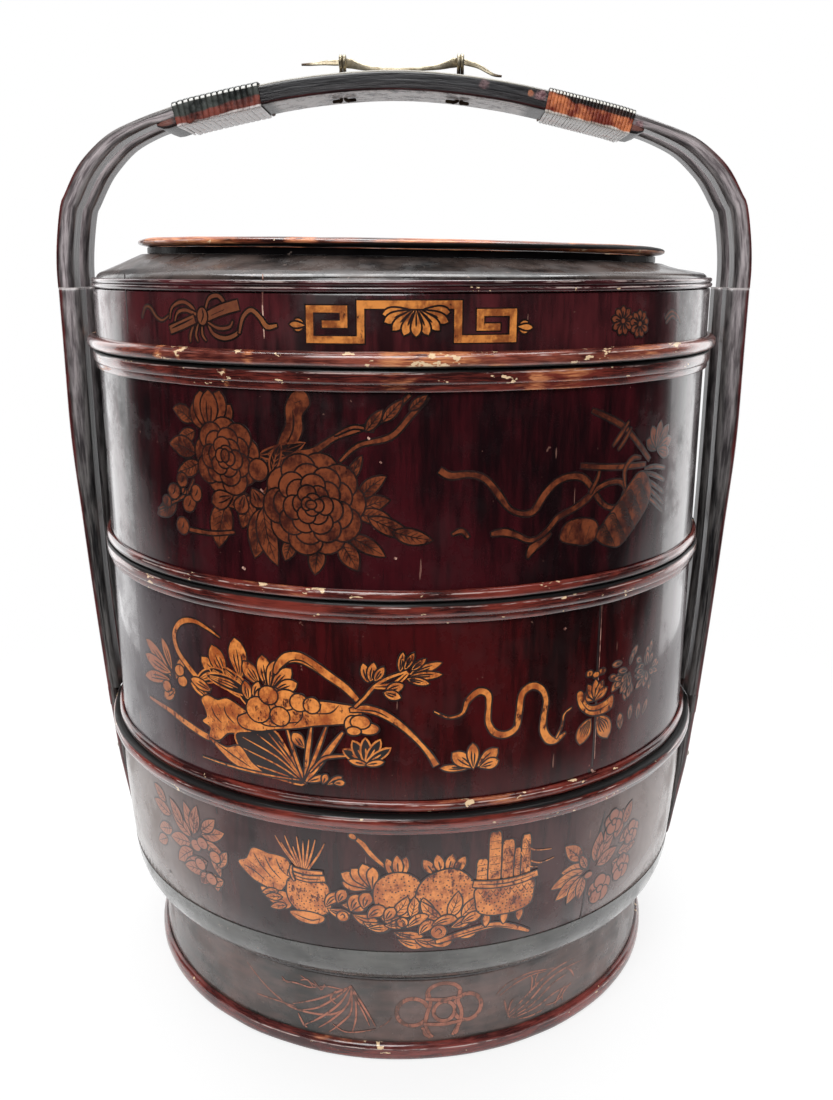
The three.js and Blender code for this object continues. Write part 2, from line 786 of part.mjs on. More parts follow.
const basket = new THREE.Group();
const frame = new THREE.Group();
addBase(frame);
addLegs(frame);
addHandle(frame);
addRattan(frame);
addBrass(frame);
basket.add(frame, makeTray('middle', middleLevel), makeTray('upper', upperLevel), makeLid(), makeBail());

export default basket;
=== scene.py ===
# A tiered lacquer basket: turned and bent rings, a bentwood handle, rattan, brass and gilt painting.
import math
import random
import bpy
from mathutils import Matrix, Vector, noise


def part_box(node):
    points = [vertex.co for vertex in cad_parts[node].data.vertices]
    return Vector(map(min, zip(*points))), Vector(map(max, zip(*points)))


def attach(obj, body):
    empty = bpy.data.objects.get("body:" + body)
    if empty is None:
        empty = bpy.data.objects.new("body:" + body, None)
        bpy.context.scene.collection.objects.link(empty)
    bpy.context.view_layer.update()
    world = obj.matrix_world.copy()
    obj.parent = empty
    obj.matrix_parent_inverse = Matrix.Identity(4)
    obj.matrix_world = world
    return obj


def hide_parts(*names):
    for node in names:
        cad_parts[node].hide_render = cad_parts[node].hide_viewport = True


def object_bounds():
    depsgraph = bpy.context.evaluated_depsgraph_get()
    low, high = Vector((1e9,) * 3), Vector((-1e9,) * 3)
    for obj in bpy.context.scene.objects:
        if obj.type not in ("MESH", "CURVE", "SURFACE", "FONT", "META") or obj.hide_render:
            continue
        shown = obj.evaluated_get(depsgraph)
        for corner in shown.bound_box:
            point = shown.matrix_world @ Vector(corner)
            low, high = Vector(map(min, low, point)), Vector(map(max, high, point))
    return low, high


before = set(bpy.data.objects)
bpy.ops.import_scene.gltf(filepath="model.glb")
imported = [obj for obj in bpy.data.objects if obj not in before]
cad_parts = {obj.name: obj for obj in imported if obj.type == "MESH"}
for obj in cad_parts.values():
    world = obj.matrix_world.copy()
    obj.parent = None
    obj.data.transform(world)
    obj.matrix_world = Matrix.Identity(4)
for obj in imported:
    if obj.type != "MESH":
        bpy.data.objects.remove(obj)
cadLow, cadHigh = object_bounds()
mm = 0.001  # every size below is in millimetres
fullTurn = 2 * math.pi
noise.seed_set(11)  # or the uneven places would change from run to run


# Camera, floor and lamps

photo = {
    "height": 1100,  # pixels
    "focal": 1070,  # pixels
    "axisShift": 15,  # pixels that the basket's axis stands left of the middle
    "pitch": 14.84,  # degrees down
    "turn": 2,  # degrees round to the basket's right
    "away": 603,
    "eyeLevel": 388,
}


def makeCamera():
    filmWidth = 36
    turn = math.radians(photo["turn"])
    bpy.ops.object.camera_add()
    camera = bpy.context.object
    camera.name = "photo_camera"
    camera.data.sensor_width = filmWidth
    camera.data.lens = filmWidth * photo["focal"] / photo["height"]
    camera.data.shift_x = photo["axisShift"] / photo["height"]
    camera.location = Vector((math.sin(turn), -math.cos(turn), 0)) * photo["away"] * mm
    camera.location.z = photo["eyeLevel"] * mm
    camera.rotation_euler = (math.radians(90 - photo["pitch"]), 0, turn)
    bpy.context.scene.camera = camera


lamps = {
    # place, size across and up, power in watts; each faces the middle of the basket
    "lampAbove": {"place": (0, 300, 1700), "size": (1600, 900), "power": 30},
    "lampFront": {"place": (-300, -1300, 1500), "size": (900, 900), "power": 20},
    "lampLeft": {"place": (-1300, 900, 500), "size": (700, 1500), "power": 4},
    "lampRight": {"place": (1300, 900, 500), "size": (700, 1500), "power": 4},
}


def makeLamps():
    middle = Vector((0, 0, cadHigh.z / 2))
    for name, lamp in lamps.items():
        place = Vector(lamp["place"]) * mm
        bpy.ops.object.light_add(type="AREA", location=place)
        light = bpy.context.object
        light.name = name
        light.rotation_euler = (middle - place).to_track_quat("-Z", "Y").to_euler()
        light.data.shape = "RECTANGLE"
        light.data.size = lamp["size"][0] * mm
        light.data.size_y = lamp["size"][1] * mm
        light.data.energy = lamp["power"]
        light.visible_camera = False


# Shader maths: Python expressions on wires add the nodes

class Wire:
    def __init__(self, tree, socket):
        self.tree = tree
        self.socket = socket

    def node(self, kind, settings=None, sockets=None, out=0):
        made = self.tree.nodes.new("ShaderNode" + kind)
        for name, value in (settings or {}).items():
            setattr(made, name, value)
        for name, value in (sockets or {}).items():
            if isinstance(value, Wire):
                self.tree.links.new(value.socket, made.inputs[name])
            else:
                made.inputs[name].default_value = value
        return Wire(self.tree, made.outputs[out])

    def maths(self, operation, first, second=0.0):
        return self.node("Math", {"operation": operation}, {0: first, 1: second})

    def __add__(self, other):
        return self.maths("ADD", self, other)

    __radd__ = __add__

    def __sub__(self, other):
        return self.maths("SUBTRACT", self, other)

    def __rsub__(self, other):
        return self.maths("SUBTRACT", other, self)

    def __mul__(self, other):
        return self.maths("MULTIPLY", self, other)

    __rmul__ = __mul__

    def __abs__(self):
        return self.maths("ABSOLUTE", self)

    def ramp(self, low, high):  # 0 below low, 1 above high, smooth between
        settings = {"interpolation_type": "SMOOTHSTEP"}
        return self.node("MapRange", settings, {0: self, 1: low, 2: high, 3: 0.0, 4: 1.0})

    def pick(self, where0, where1):  # a colour where this is 0, another where it is 1
        return self.node("Mix", {"data_type": "RGBA"}, {0: self, 6: where0, 7: where1}, 2)

    def times(self, factors):  # a vector with each axis multiplied
        return self.node("VectorMath", {"operation": "MULTIPLY"}, {0: self, 1: factors})

    def axis(self, index):
        return self.node("SeparateXYZ", {}, {0: self}, index)

    def noise(self, scale, detail=3.0, roughness=0.5):
        return self.node("TexNoise", {}, {0: self, "Scale": scale, "Detail": detail, "Roughness": roughness})

    def attribute(self, name):  # a number kept on the mesh
        return self.node("Attribute", {"attribute_name": name}, {}, 2)

    def bump(self, depth):
        return self.node("Bump", {}, {"Height": self, "Distance": depth * mm})


def tone(red, green, blue):
    # a colour as seen on a screen, 0 to 255, turned linear
    def linear(value):
        share = value / 255
        return share / 12.92 if share <= 0.04045 else ((share + 0.055) / 1.055) ** 2.4
    return (linear(red), linear(green), linear(blue), 1)


def startFinish(name, uniform):
    material = bpy.data.materials.new(name)
    material.use_nodes = True
    tree = material.node_tree
    shader = tree.nodes["Principled BSDF"]
    for socket, value in uniform.items():
        shader.inputs[socket].default_value = value
    place = Wire(tree, tree.nodes.new("ShaderNodeTexCoord").outputs["Object"])
    return material, place


def endFinish(material, varying):
    tree = material.node_tree
    for socket, wire in varying.items():
        tree.links.new(wire.socket, tree.nodes["Principled BSDF"].inputs[socket])
    return material


# World and floor

def makeWorld():
    world = bpy.data.worlds.new("studio")
    bpy.context.scene.world = world
    world.use_nodes = True
    tree = world.node_tree
    path = tree.nodes.new("ShaderNodeLightPath")
    seen = Wire(tree, path.outputs["Is Camera Ray"])
    mirrored = Wire(tree, path.outputs["Is Glossy Ray"])
    through = Wire(tree, path.outputs["Is Transmission Ray"])
    towards = Wire(tree, tree.nodes.new("ShaderNodeTexCoord").outputs["Generated"])
    ground = (0 - towards.axis(2)).ramp(0, 0.3)
    behind = (towards.axis(1) + ground * 0.4).ramp(0.3, 0.72)  # the white backdrop stands behind the basket
    room = behind.pick(tone(26, 25, 27), tone(232, 232, 233))
    soft = mirrored.pick(tone(188, 188, 190), room)
    plain = seen.maths("MAXIMUM", seen, through)
    colour = plain.pick(soft, tone(255, 255, 255))
    tree.links.new(colour.socket, tree.nodes["Background"].inputs["Color"])


floorSize = {"radius": 620, "solid": 260, "whiteShare": 0.8}


def makeFloor():
    bpy.ops.mesh.primitive_circle_add(vertices=128, radius=floorSize["radius"] * mm, fill_type="NGON")
    floor = bpy.context.object
    floor.name = "floor"
    material = bpy.data.materials.new("pale_floor")
    material.use_nodes = True
    tree = material.node_tree
    place = Wire(tree, tree.nodes.new("ShaderNodeTexCoord").outputs["Object"])
    away = place.node("VectorMath", {"operation": "LENGTH"}, {0: place}, 1)
    fade = away.ramp(floorSize["solid"] * mm, floorSize["radius"] * mm)
    paper = place.node("BsdfDiffuse", {}, {"Color": tone(250, 250, 250)})
    white = place.node("Emission", {}, {"Color": tone(255, 255, 255)})
    path = tree.nodes.new("ShaderNodeLightPath")
    mirrored = Wire(tree, path.outputs["Is Glossy Ray"]) * place.axis(1).ramp(-0.2, 0.12)
    seen = mirrored.maths("MAXIMUM", mirrored, Wire(tree, path.outputs["Is Camera Ray"]))
    pale = place.node("MixShader", {}, {0: seen * floorSize["whiteShare"], 1: paper, 2: white})
    clear = place.node("BsdfTransparent")
    mixed = place.node("MixShader", {}, {0: fade, 1: pale, 2: clear})
    tree.links.new(mixed.socket, tree.nodes["Material Output"].inputs["Surface"])
    floor.data.materials.append(material)


# Finishes

def lacquerFinish(name, light, dark, left, right, gloss, specular=0.4):
    # brushed up and down, redder in the middle of the front and back, darker or greyer towards the legs, and
    # on the base paler there as painted sheen; left and right each give a colour and the places, from the
    # axis, where it starts and is full
    material, place = startFinish(name, {"Coat Roughness": 0.06, "Specular IOR Level": specular})
    upright = place.times((1, 1, 0.16))
    along = upright.noise(75, 4, 0.65)
    cloud = place.times((1, 1, 0.6)).noise(11, 3, 0.5)
    grain = upright.noise(420, 2, 0.5)
    shade = (along * 0.42 + cloud * 0.42 + grain * 0.16).ramp(0.4, 0.6)
    coat = shade.pick(dark, light)
    ragged = (place.noise(16, 4, 0.6) - 0.5) * 0.05 + (along - 0.5) * 0.03
    for way, (colour, begins, full) in ((-1, left), (1, right)):
        coat = (place.axis(0) * way + ragged).ramp(begins * mm, full * mm).pick(coat, colour)
    fine = place.noise(900, 2, 0.5)
    wave = place.times((1, 1, 0.3)).noise(30, 2, 0.5)
    dull = place.noise(34, 5, 0.68).ramp(0.42, 0.7)
    scratch = place.times((1, 1, 0.12)).noise(330, 2, 0.4).ramp(0.76, 0.78)
    nick = place.noise(240, 3, 0.6).ramp(0.73, 0.745)
    return endFinish(material, {
        "Base Color": (scratch * 0.5 + nick * 0.4).pick(coat, tone(150, 110, 96)),
        "Roughness": dull * 0.24 + 0.18,
        "Coat Weight": gloss - dull * 0.25,
        "Normal": (wave + fine * 0.03 + along * 0.05).bump(0.6),
    })


def hoopFinish(name, wear, chips, seam, highlightCrests, scars, light=(124, 50, 40), dark=(46, 17, 17)):
    # split cane under lacquer, rubbed through to orange here and there, with a painted highlight along its
    # crests and chips to the ground coat, most where there is a scar, and painted shade, black, in the seam
    # where two trays meet or where it meets the next piece
    material, place = startFinish(name, {"Coat Roughness": 0.09, "Specular IOR Level": 0.4})
    shifted = place.node("VectorMath", {"operation": "ADD"}, {0: place, 1: (seam * 0.7, seam * 0.3, 0)})
    streak = shifted.times((1, 1, 8)).noise(48, 5, 0.6)
    thread = shifted.times((1, 1, 14)).noise(130, 3, 0.6)
    patch = shifted.noise(13, 2, 0.5)
    long = shifted.times((1, 1, 3)).noise(22, 3, 0.6)
    scarred = 0.0
    for degrees, reach in scars:
        turn = math.radians(degrees)
        across = (math.cos(turn), math.sin(turn), 0)
        aside = place.node("VectorMath", {"operation": "DOT_PRODUCT"}, {0: place, 1: across}, 1)
        ragged = abs(aside) + ((streak - 0.5) * 30 + (thread - 0.5) * 16) * mm
        near = 1 - ragged.ramp(reach * 0.1 * mm, reach * 1.6 * mm)
        scarred = near * (0 - place.axis(1)).ramp(0, 0.05) + scarred
    scraped = scarred * (thread * 0.6 + streak * 0.4 - 0.3) * 0.9
    worn = (streak * 0.35 + patch * 0.75 + scraped).ramp(0.72 - wear, 0.80 - wear)
    pits = shifted.times((1, 1, 2.4)).noise(70, 3, 0.55) + shifted.times((1, 1, 2)).noise(260, 3, 0.6) * 0.5
    chip = (pits + patch * 0.25 + scarred * 0.07 - 0.25).ramp(0.86 - chips, 0.87 - chips)
    lacquered = (thread * 0.3 + streak * 0.25 + long * 0.45).ramp(0.4, 0.6).pick(tone(*dark), tone(*light))
    rubbedAndSheen = thread.ramp(0.35, 0.65).pick(tone(150, 72, 42), tone(214, 140, 90))
    bareAndHighlit = (worn * 0.9).pick(lacquered, rubbedAndSheen)
    # painted highlight: broken pale lines along each crest stand for the shine of the lamps on the round cane
    broken = shifted.times((1, 1, 9)).noise(75, 4, 0.7).ramp(0.45, 0.56)
    for crest in highlightCrests:
        off = abs(place.axis(2) - crest * mm)
        bright = (1 - off.ramp(0.0001, 0.0004)) * broken * patch.ramp(0.4, 0.56)
        bareAndHighlit = (bright * 0.55).pick(bareAndHighlit, tone(232, 212, 204))
    # painted shade: black on the cane along its seam with the piece it meets
    fromSeam = abs(place.axis(2) - seam * mm)
    black = 1 - (fromSeam + (long - 0.5) * 0.0016).ramp(0.0007, 0.0015)
    return endFinish(material, {
        "Base Color": black.pick(chip.pick(bareAndHighlit, tone(232, 200, 160)), tone(8, 5, 5)),
        "Roughness": worn * 0.2 + black * 0.4 + 0.22,
        "Coat Weight": (0.85 - worn * 0.5) * (1 - black * 0.8),
        "Normal": (streak + thread * 0.3 - chip * 0.6).bump(0.22),
    })


def plainDarkFinish(name, light, dark, gloss=0.7, mend=(0.35, 0.65), specular=0.5):
    material, place = startFinish(name, {"Coat Roughness": 0.1, "Specular IOR Level": specular})
    shade = (place.noise(14, 5, 0.7) * 0.7 + place.times((1, 1, 5)).noise(60, 4) * 0.3).ramp(*mend)
    dull = place.noise(48, 5, 0.65).ramp(0.4, 0.65)
    speck = place.noise(260, 3, 0.6).ramp(0.69, 0.72)
    return endFinish(material, {
        "Base Color": (speck * 0.6).pick(shade.pick(dark, light), tone(128, 112, 104)),
        "Roughness": dull * 0.2 + 0.2,
        "Coat Weight": gloss - dull * 0.3,
        "Normal": (place.noise(35, 3) + place.noise(700, 2) * 0.05).bump(0.4),
    })


def grainAlong(place):
    # a grain that runs along a bent strip or down a leg, from the marks on its mesh
    out, along = place.attribute("mark"), place.attribute("along")
    lie = place.node("CombineXYZ", {}, {0: along * 0.3, 1: place.axis(1) * 3, 2: out * 0.028})
    return out, lie.noise(180, 4, 0.6), lie.noise(55, 3, 0.6)


def wornSpot(place, distance, depth, radius):
    # 1 on a small ragged spot of the grip's front face, at a distance from the crown
    spot = archPlace(distance, -19.6, depth) * mm
    away = place.node("VectorMath", {"operation": "DISTANCE"}, {0: place, 1: tuple(spot)}, 1)
    return 1 - (away + (place.noise(420, 3, 0.6) - 0.5) * 0.003).ramp(radius * 0.5 * mm, radius * mm)


def handleFinish(name, joint):
    # charcoal lacquer, dark red towards the outer edge of the bend, a painted highlight down the middle of
    # the strips' faces from the upper legs up to the grip, and a pale line where a hoop stands on its leg
    material, place = startFinish(name, {"Coat Roughness": 0.12, "Specular IOR Level": 0.4})
    out, fibre, blot = grainAlong(place)
    level = place.axis(2)
    onGrip = level.ramp(0.462, 0.474)
    edge = out + (place.noise(60, 3) - 0.5) * 0.25
    red = (1 - level.ramp(0.43, 0.456)) * edge.ramp(0.72, 0.9)
    # painted highlight: a paler band down the middle of each strip's face, above the lower legs and below the
    # grip
    bright = level.ramp(0.24, 0.4) * (1 - onGrip)
    crown = edge.ramp(0.1, 0.45) * (1 - edge.ramp(0.6, 0.85))
    plain = (fibre * 0.6 + blot * 0.4).ramp(0.36, 0.64).pick(tone(26, 25, 26), tone(104, 101, 99))
    grip = (fibre * 0.5 + blot * 0.5).ramp(0.36, 0.64).pick(tone(24, 23, 25), tone(66, 66, 68))
    rubbedAndSheen = fibre.ramp(0.3, 0.7).pick(tone(96, 88, 90), tone(190, 180, 181))
    grey = (bright * (crown * 0.8 + 0.2)).pick(onGrip.pick(plain, grip), rubbedAndSheen)
    rust = fibre.ramp(0.3, 0.7).pick(tone(44, 12, 14), tone(104, 36, 36))
    facing = abs(place.axis(1))
    line = onGrip * facing.ramp(0.0182, 0.0192) * out.ramp(0.84, 0.98) * (blot.ramp(0.3, 0.5) * 0.7 + 0.3)
    lined = (line * 0.75).pick(red.pick(grey, rust), tone(150, 142, 122))
    ledge = abs(level - joint)
    edged = ((1 - ledge.ramp(0.0003, 0.0009)) * blot.ramp(0.36, 0.5) * 0.7).pick(lined, tone(190, 182, 180))
    fleck = place.noise(900, 3, 0.6)
    scar = wornSpot(place, 72.8, 3.6, 3.4) + wornSpot(place, 125.2, 5, 3)
    scar = scar + wornSpot(place, 43.3, 3.4, 3) * 0.5
    scarred = (scar * 0.85).pick(edged, fleck.ramp(0.34, 0.66).pick(tone(92, 56, 62), tone(168, 132, 134)))
    orange = wornSpot(place, 67.6, 3.4, 1.9)
    worn = (orange * 0.75).pick(scarred, fleck.ramp(0.3, 0.7).pick(tone(168, 94, 68), tone(198, 132, 96)))
    return endFinish(material, {
        "Base Color": worn,
        "Roughness": fibre * 0.2 + 0.22,
        "Coat Weight": 0.6 - fibre * 0.2,
        "Normal": (fibre + blot * 0.4).bump(0.25),
    })


def padFinish(name):
    # the front face goes on from the hoop's, dark red along the lower edge; mottled and pale underneath,
    # partly as painted light from the floor, with painted shade by the wraps and under the noses
    material, place = startFinish(name, {"Coat Roughness": 0.18, "Specular IOR Level": 0.35})
    out, fibre, blot = grainAlong(place)
    beside = abs(place.attribute("along"))
    face = (fibre * 0.5 + blot * 0.5).ramp(0.36, 0.64).pick(tone(26, 24, 26), tone(66, 64, 66))
    rust = fibre.ramp(0.35, 0.65).pick(tone(30, 12, 14), tone(72, 26, 28))
    cloud = (place.noise(95, 5, 0.75) * 0.6 + fibre * 0.4).ramp(0.42, 0.53)
    # partly painted light: the underside is made paler to stand for the floor's light from below
    pale = cloud.pick(tone(84, 68, 72), tone(255, 252, 250))
    # painted shade: dark where the underside runs into the rattan wraps
    shaded = (beside.ramp(0.064, 0.07) * (1 - beside.ramp(0.122, 0.124))).pick(pale, tone(26, 24, 26))
    nose = beside.ramp(0.118, 0.122)
    noseTone = (out + (blot - 0.5) * 0.3).ramp(0.3, 0.6).pick(tone(40, 41, 43), tone(122, 80, 72))
    lower = out.ramp(0.02, 0.14)
    red = lower * (1 - (out + (blot - 0.5) * 0.2).ramp(0.32, 0.5)) * (1 - nose)
    sides = nose.pick(face, noseTone)
    return endFinish(material, {
        # near black on the underside of the noses: painted shade
        "Base Color": red.pick(lower.pick(nose.pick(shaded, tone(16, 16, 18)), sides), rust),
        "Roughness": fibre * 0.2 + 0.3,
        "Coat Weight": 0.4 - fibre * 0.2,
        "Normal": (fibre + cloud * 0.3).bump(0.25),
    })


def rattanFinish(name, top, front, lowFront, lowStart, under):
    # beads of painted highlight just below the top of each turn, lacquered in front, rubbed through low on
    # the front, pale underneath, partly worn and partly painted reflection of the floor, and painted shade
    # between the turns
    material, place = startFinish(name, {"Coat Roughness": 0.12, "Coat Weight": 0.5})
    level = place.attribute("along")
    depth = level + (place.noise(200, 4) - 0.5) * 0.002 + (place.noise(45, 3) - 0.5) * 0.004
    middle = place.attribute("mark")
    fibre = place.noise(300, 4, 0.65)
    patch = (fibre * 0.4 + place.noise(85, 4) * 0.6).ramp(0.4, 0.6)
    facing = abs(place.axis(1))
    # painted highlight: a pale bead on the front of each turn just below its top
    beads = middle.ramp(0.62, 0.9) * facing.ramp(0.0192, 0.0196) * level.ramp(-0.0004, -0.0001)
    beads = beads * (1 - level.ramp(0.0004, 0.0009))
    plain = (1 - depth.ramp(0.0002, 0.001)).pick(patch.pick(tone(*front[0]), tone(*front[1])), tone(*top[0]))
    upper = beads.pick(plain, tone(*top[1]))
    low = (depth + (place.noise(32, 3) - 0.5) * 0.008).ramp(lowStart, lowStart + 0.0012)
    rubbedAndSheen = (low * (patch * 0.3 + 0.7)).pick(upper, patch.pick(tone(*lowFront[0]), tone(*lowFront[1])))
    # pale underneath: partly worn cane, partly painted reflection of the white floor
    pale = depth.ramp(0.0094, 0.0102).pick(rubbedAndSheen, patch.pick(tone(*under[0]), tone(*under[1])))
    # painted shade where one turn meets the next
    gap = 1 - middle.ramp(0.1, 0.35)
    return endFinish(material, {
        "Base Color": (gap * 0.5).pick(pale, tone(58, 30, 26)),
        "Roughness": fibre * 0.25 + 0.22,
        "Normal": fibre.bump(0.15),
    })


def brassFinish(name, part="plain"):
    # olive and rubbed; the bail is dark at its tips and the pins are dark below their eyes
    material, place = startFinish(name, {"Metallic": 0.85})
    cloud = place.noise(140, 4, 0.6)
    rubbedAndSheen = cloud.ramp(0.3, 0.7).pick(tone(134, 122, 100), tone(198, 188, 164))
    dark = cloud.ramp(0.3, 0.7).pick(tone(40, 30, 26), tone(86, 72, 58))
    if part == "bail":
        aside = abs(place.axis(0))
        rubbedAndSheen = aside.ramp(0.044, 0.05).pick(rubbedAndSheen, dark)
    elif part == "pin":
        rubbedAndSheen = place.axis(2).ramp(0.4862, 0.488).pick(dark, rubbedAndSheen)
    return endFinish(material, {
        "Base Color": rubbedAndSheen,
        "Roughness": cloud * 0.3 + 0.28,
        "Normal": place.noise(900, 3).bump(0.12),
    })


def giltFinish(name, bright, dull, worn, share, sideTones=()):
    # gold laid under the lacquer, thin and rubbed in places; each side tone gives a colour, the side it is
    # on, and the places, from the axis, where it starts and is full; on the base the paler side tones are
    # painted sheen
    material, place = startFinish(name, {"Coat Roughness": 0.08, "Specular IOR Level": 0.35})
    cloud = place.noise(60, 4, 0.65)
    fine = place.times((1, 1, 0.5)).noise(420, 3, 0.7)
    glint = place.noise(170, 5, 0.7)
    thin = (fine * 0.5 + place.noise(38, 3) * 0.25 + glint * 0.25).ramp(0.5 - share, 0.55 - share)
    coat = (cloud * 0.35 + glint * 0.45 + fine * 0.2).ramp(0.42, 0.58).pick(dull, bright)
    for colour, way, begins, full in sideTones:
        towardSide = (place.axis(0) * way + (cloud - 0.5) * 0.03).ramp(begins * mm, full * mm)
        coat = (towardSide * (0.8 + glint * 0.2)).pick(coat, colour)
    return endFinish(material, {
        "Base Color": thin.pick(worn, coat),
        "Roughness": cloud * 0.15 + 0.22,
        "Coat Weight": 0.45 - fine * 0.15,
        "Normal": fine.bump(0.05),
    })


def inkFinish(name):
    material, place = startFinish(name, {"Coat Weight": 0.5, "Coat Roughness": 0.12})
    cloud = place.noise(90, 3)
    return endFinish(material, {
        "Base Color": cloud.ramp(0.35, 0.65).pick(tone(20, 12, 12), tone(40, 22, 20)),
        "Roughness": cloud * 0.2 + 0.25,
    })


finishes = {
    "gilt": giltFinish("bright_gilt", tone(226, 140, 66), tone(158, 78, 34), tone(74, 30, 20), 0.1, (
        (tone(150, 90, 66), -1, 92, 120), (tone(132, 82, 66), 1, 98, 116))),
    "lidGilt": giltFinish("lid_gilt", tone(216, 136, 64), tone(136, 72, 34), tone(52, 24, 20), 0.13, (
        (tone(98, 54, 40), -1, 24, 66), (tone(112, 54, 38), 1, 66, 98))),
    # paler towards the sides: painted sheen, like the base lacquer there
    "baseGilt": giltFinish("base_gilt", tone(218, 136, 72), tone(156, 84, 48), tone(84, 40, 30), 0.09, (
        (tone(152, 98, 80), -1, 66, 96), (tone(146, 92, 76), 1, 74, 104))),
    "redGilt": giltFinish("red_gilt", tone(123, 61, 33), tone(63, 26, 19), tone(40, 14, 15), 0.14),
    "dullGilt": giltFinish("dull_gilt", tone(168, 108, 88), tone(124, 80, 66), tone(90, 66, 58), 0.06),
    "ink": inkFinish("ink_lines"),
    "chipsAndHighlight": giltFinish("chips_and_crack_highlight", tone(206, 168, 150), tone(150, 104, 92), tone(110, 70, 62), 0.04),
    "upper": lacquerFinish(
        "upper_lacquer", tone(60, 14, 20), tone(22, 8, 11),
        (tone(30, 24, 27), 132, 150), (tone(40, 22, 26), 138, 154), 0.5, 0.3),
    "middle": lacquerFinish(
        "middle_lacquer", tone(68, 14, 16), tone(26, 8, 9),
        (tone(78, 70, 73), 74, 132), (tone(52, 28, 32), 112, 152), 0.55, 0.32),
    "lid": lacquerFinish(
        "lid_lacquer", tone(80, 30, 34), tone(36, 15, 18),
        (tone(44, 34, 36), 138, 158), (tone(44, 30, 32), 138, 158), 0.6),
    # the base's pale sides are painted sheen: the backdrop's shine at a glancing angle
    "base": lacquerFinish(
        "base_lacquer", tone(66, 34, 34), tone(32, 19, 20),
        (tone(122, 108, 102), 74, 146), (tone(122, 104, 98), 84, 146), 0.42, 0.3),
    "bowl": plainDarkFinish("bowl_lacquer", tone(84, 84, 80), tone(36, 36, 35), 0.85),
    "dark": plainDarkFinish("dark_lacquer_coat", tone(52, 44, 43), tone(20, 15, 16)),
    "dome": plainDarkFinish("dome_lacquer", tone(72, 62, 58), tone(18, 15, 15), 0.45, (0.4, 0.6), 0.4),
    # near black and without shine: painted shade under the overhanging gallery rim
    "neck": plainDarkFinish("neck_lacquer", tone(20, 17, 18), tone(8, 7, 8), 0, (0.4, 0.6), 0.03),
    "foot": plainDarkFinish("foot_lacquer", tone(104, 82, 76), tone(48, 48, 46), 0.5),
    "inside": plainDarkFinish("inside_lacquer_coat", tone(70, 34, 28), tone(42, 20, 17)),
    "pad": padFinish("grip_pad_coat"),
    # the second top colour is the painted highlight beads; the under colours are partly painted reflection
    "darkRattan": rattanFinish(
        "dark_rattan", ((30, 36, 34), (244, 244, 238)), ((22, 26, 25), (70, 74, 70)),
        ((66, 26, 24), (136, 70, 58)), 0.006, ((236, 224, 218), (254, 252, 250))),
    "rubbedRattan": rattanFinish(
        "rubbed_rattan", ((30, 28, 26), (246, 244, 234)), ((28, 24, 24), (74, 46, 38)),
        ((138, 50, 34), (216, 128, 80)), 0.0024, ((216, 208, 196), (252, 249, 242))),
    "brass": brassFinish("old_brass"),
    "bailBrass": brassFinish("bail_brass", "bail"),
    "pinBrass": brassFinish("pin_brass", "pin"),
}


# Tools for the pieces

def alone():
    # an operator acts on all that is selected
    if bpy.context.object and bpy.context.object.mode == "EDIT":
        bpy.ops.object.mode_set(mode="OBJECT")
    bpy.ops.object.select_all(action="DESELECT")


def only(piece):
    alone()
    piece.select_set(True)
    bpy.context.view_layer.objects.active = piece


def faceOut(sharpest):
    # turn the faces out and shade, with edges sharper than this left sharp
    bpy.ops.object.mode_set(mode="EDIT")
    bpy.ops.mesh.select_all(action="SELECT")
    bpy.ops.mesh.normals_make_consistent(inside=False)
    bpy.ops.object.mode_set(mode="OBJECT")
    bpy.ops.object.shade_smooth_by_angle(angle=math.radians(sharpest))


weld = 0.002  # corners closer than this are one


def closeUp(piece, sharpest=40):
    # merge doubles and fill open ends
    bpy.ops.object.mode_set(mode="EDIT")
    bpy.ops.mesh.select_all(action="SELECT")
    bpy.ops.mesh.remove_doubles(threshold=weld * mm)
    bpy.ops.mesh.select_all(action="SELECT")
    bpy.ops.mesh.fill_holes(sides=0)
    faceOut(sharpest)
    return piece


def place(piece, finish, body, slotName, *nodes):
    piece.data.materials.clear()
    piece.data.materials.append(finishes[finish])
    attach(piece, body)
    if nodes:
        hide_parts(*nodes)


ringSteps = 192


def spunRing(name, profile, solid=False, steps=ringSteps):
    # a profile of radius and height, spun about the upright axis; a solid one ends on the axis
    alone()
    bpy.ops.mesh.primitive_circle_add(vertices=len(profile), radius=mm, fill_type="NOTHING")
    piece = bpy.context.object
    piece.name = name
    for corner, (radius, height) in zip(piece.data.vertices, profile):
        corner.co = Vector((0, -radius, height)) * mm
    if solid:
        for edge in piece.data.edges:
            edge.select = set(edge.vertices) == {0, len(profile) - 1}
        for corner in piece.data.vertices:
            corner.select = corner.index in (0, len(profile) - 1)
        bpy.ops.object.mode_set(mode="EDIT")
        bpy.ops.mesh.delete(type="EDGE")
        bpy.ops.object.mode_set(mode="OBJECT")
    bpy.ops.object.mode_set(mode="EDIT")
    bpy.ops.mesh.select_all(action="SELECT")
    bpy.ops.mesh.spin(steps=steps, angle=fullTurn, center=(0, 0, 0), axis=(0, 0, 1))
    bpy.ops.object.mode_set(mode="OBJECT")
    return closeUp(piece)


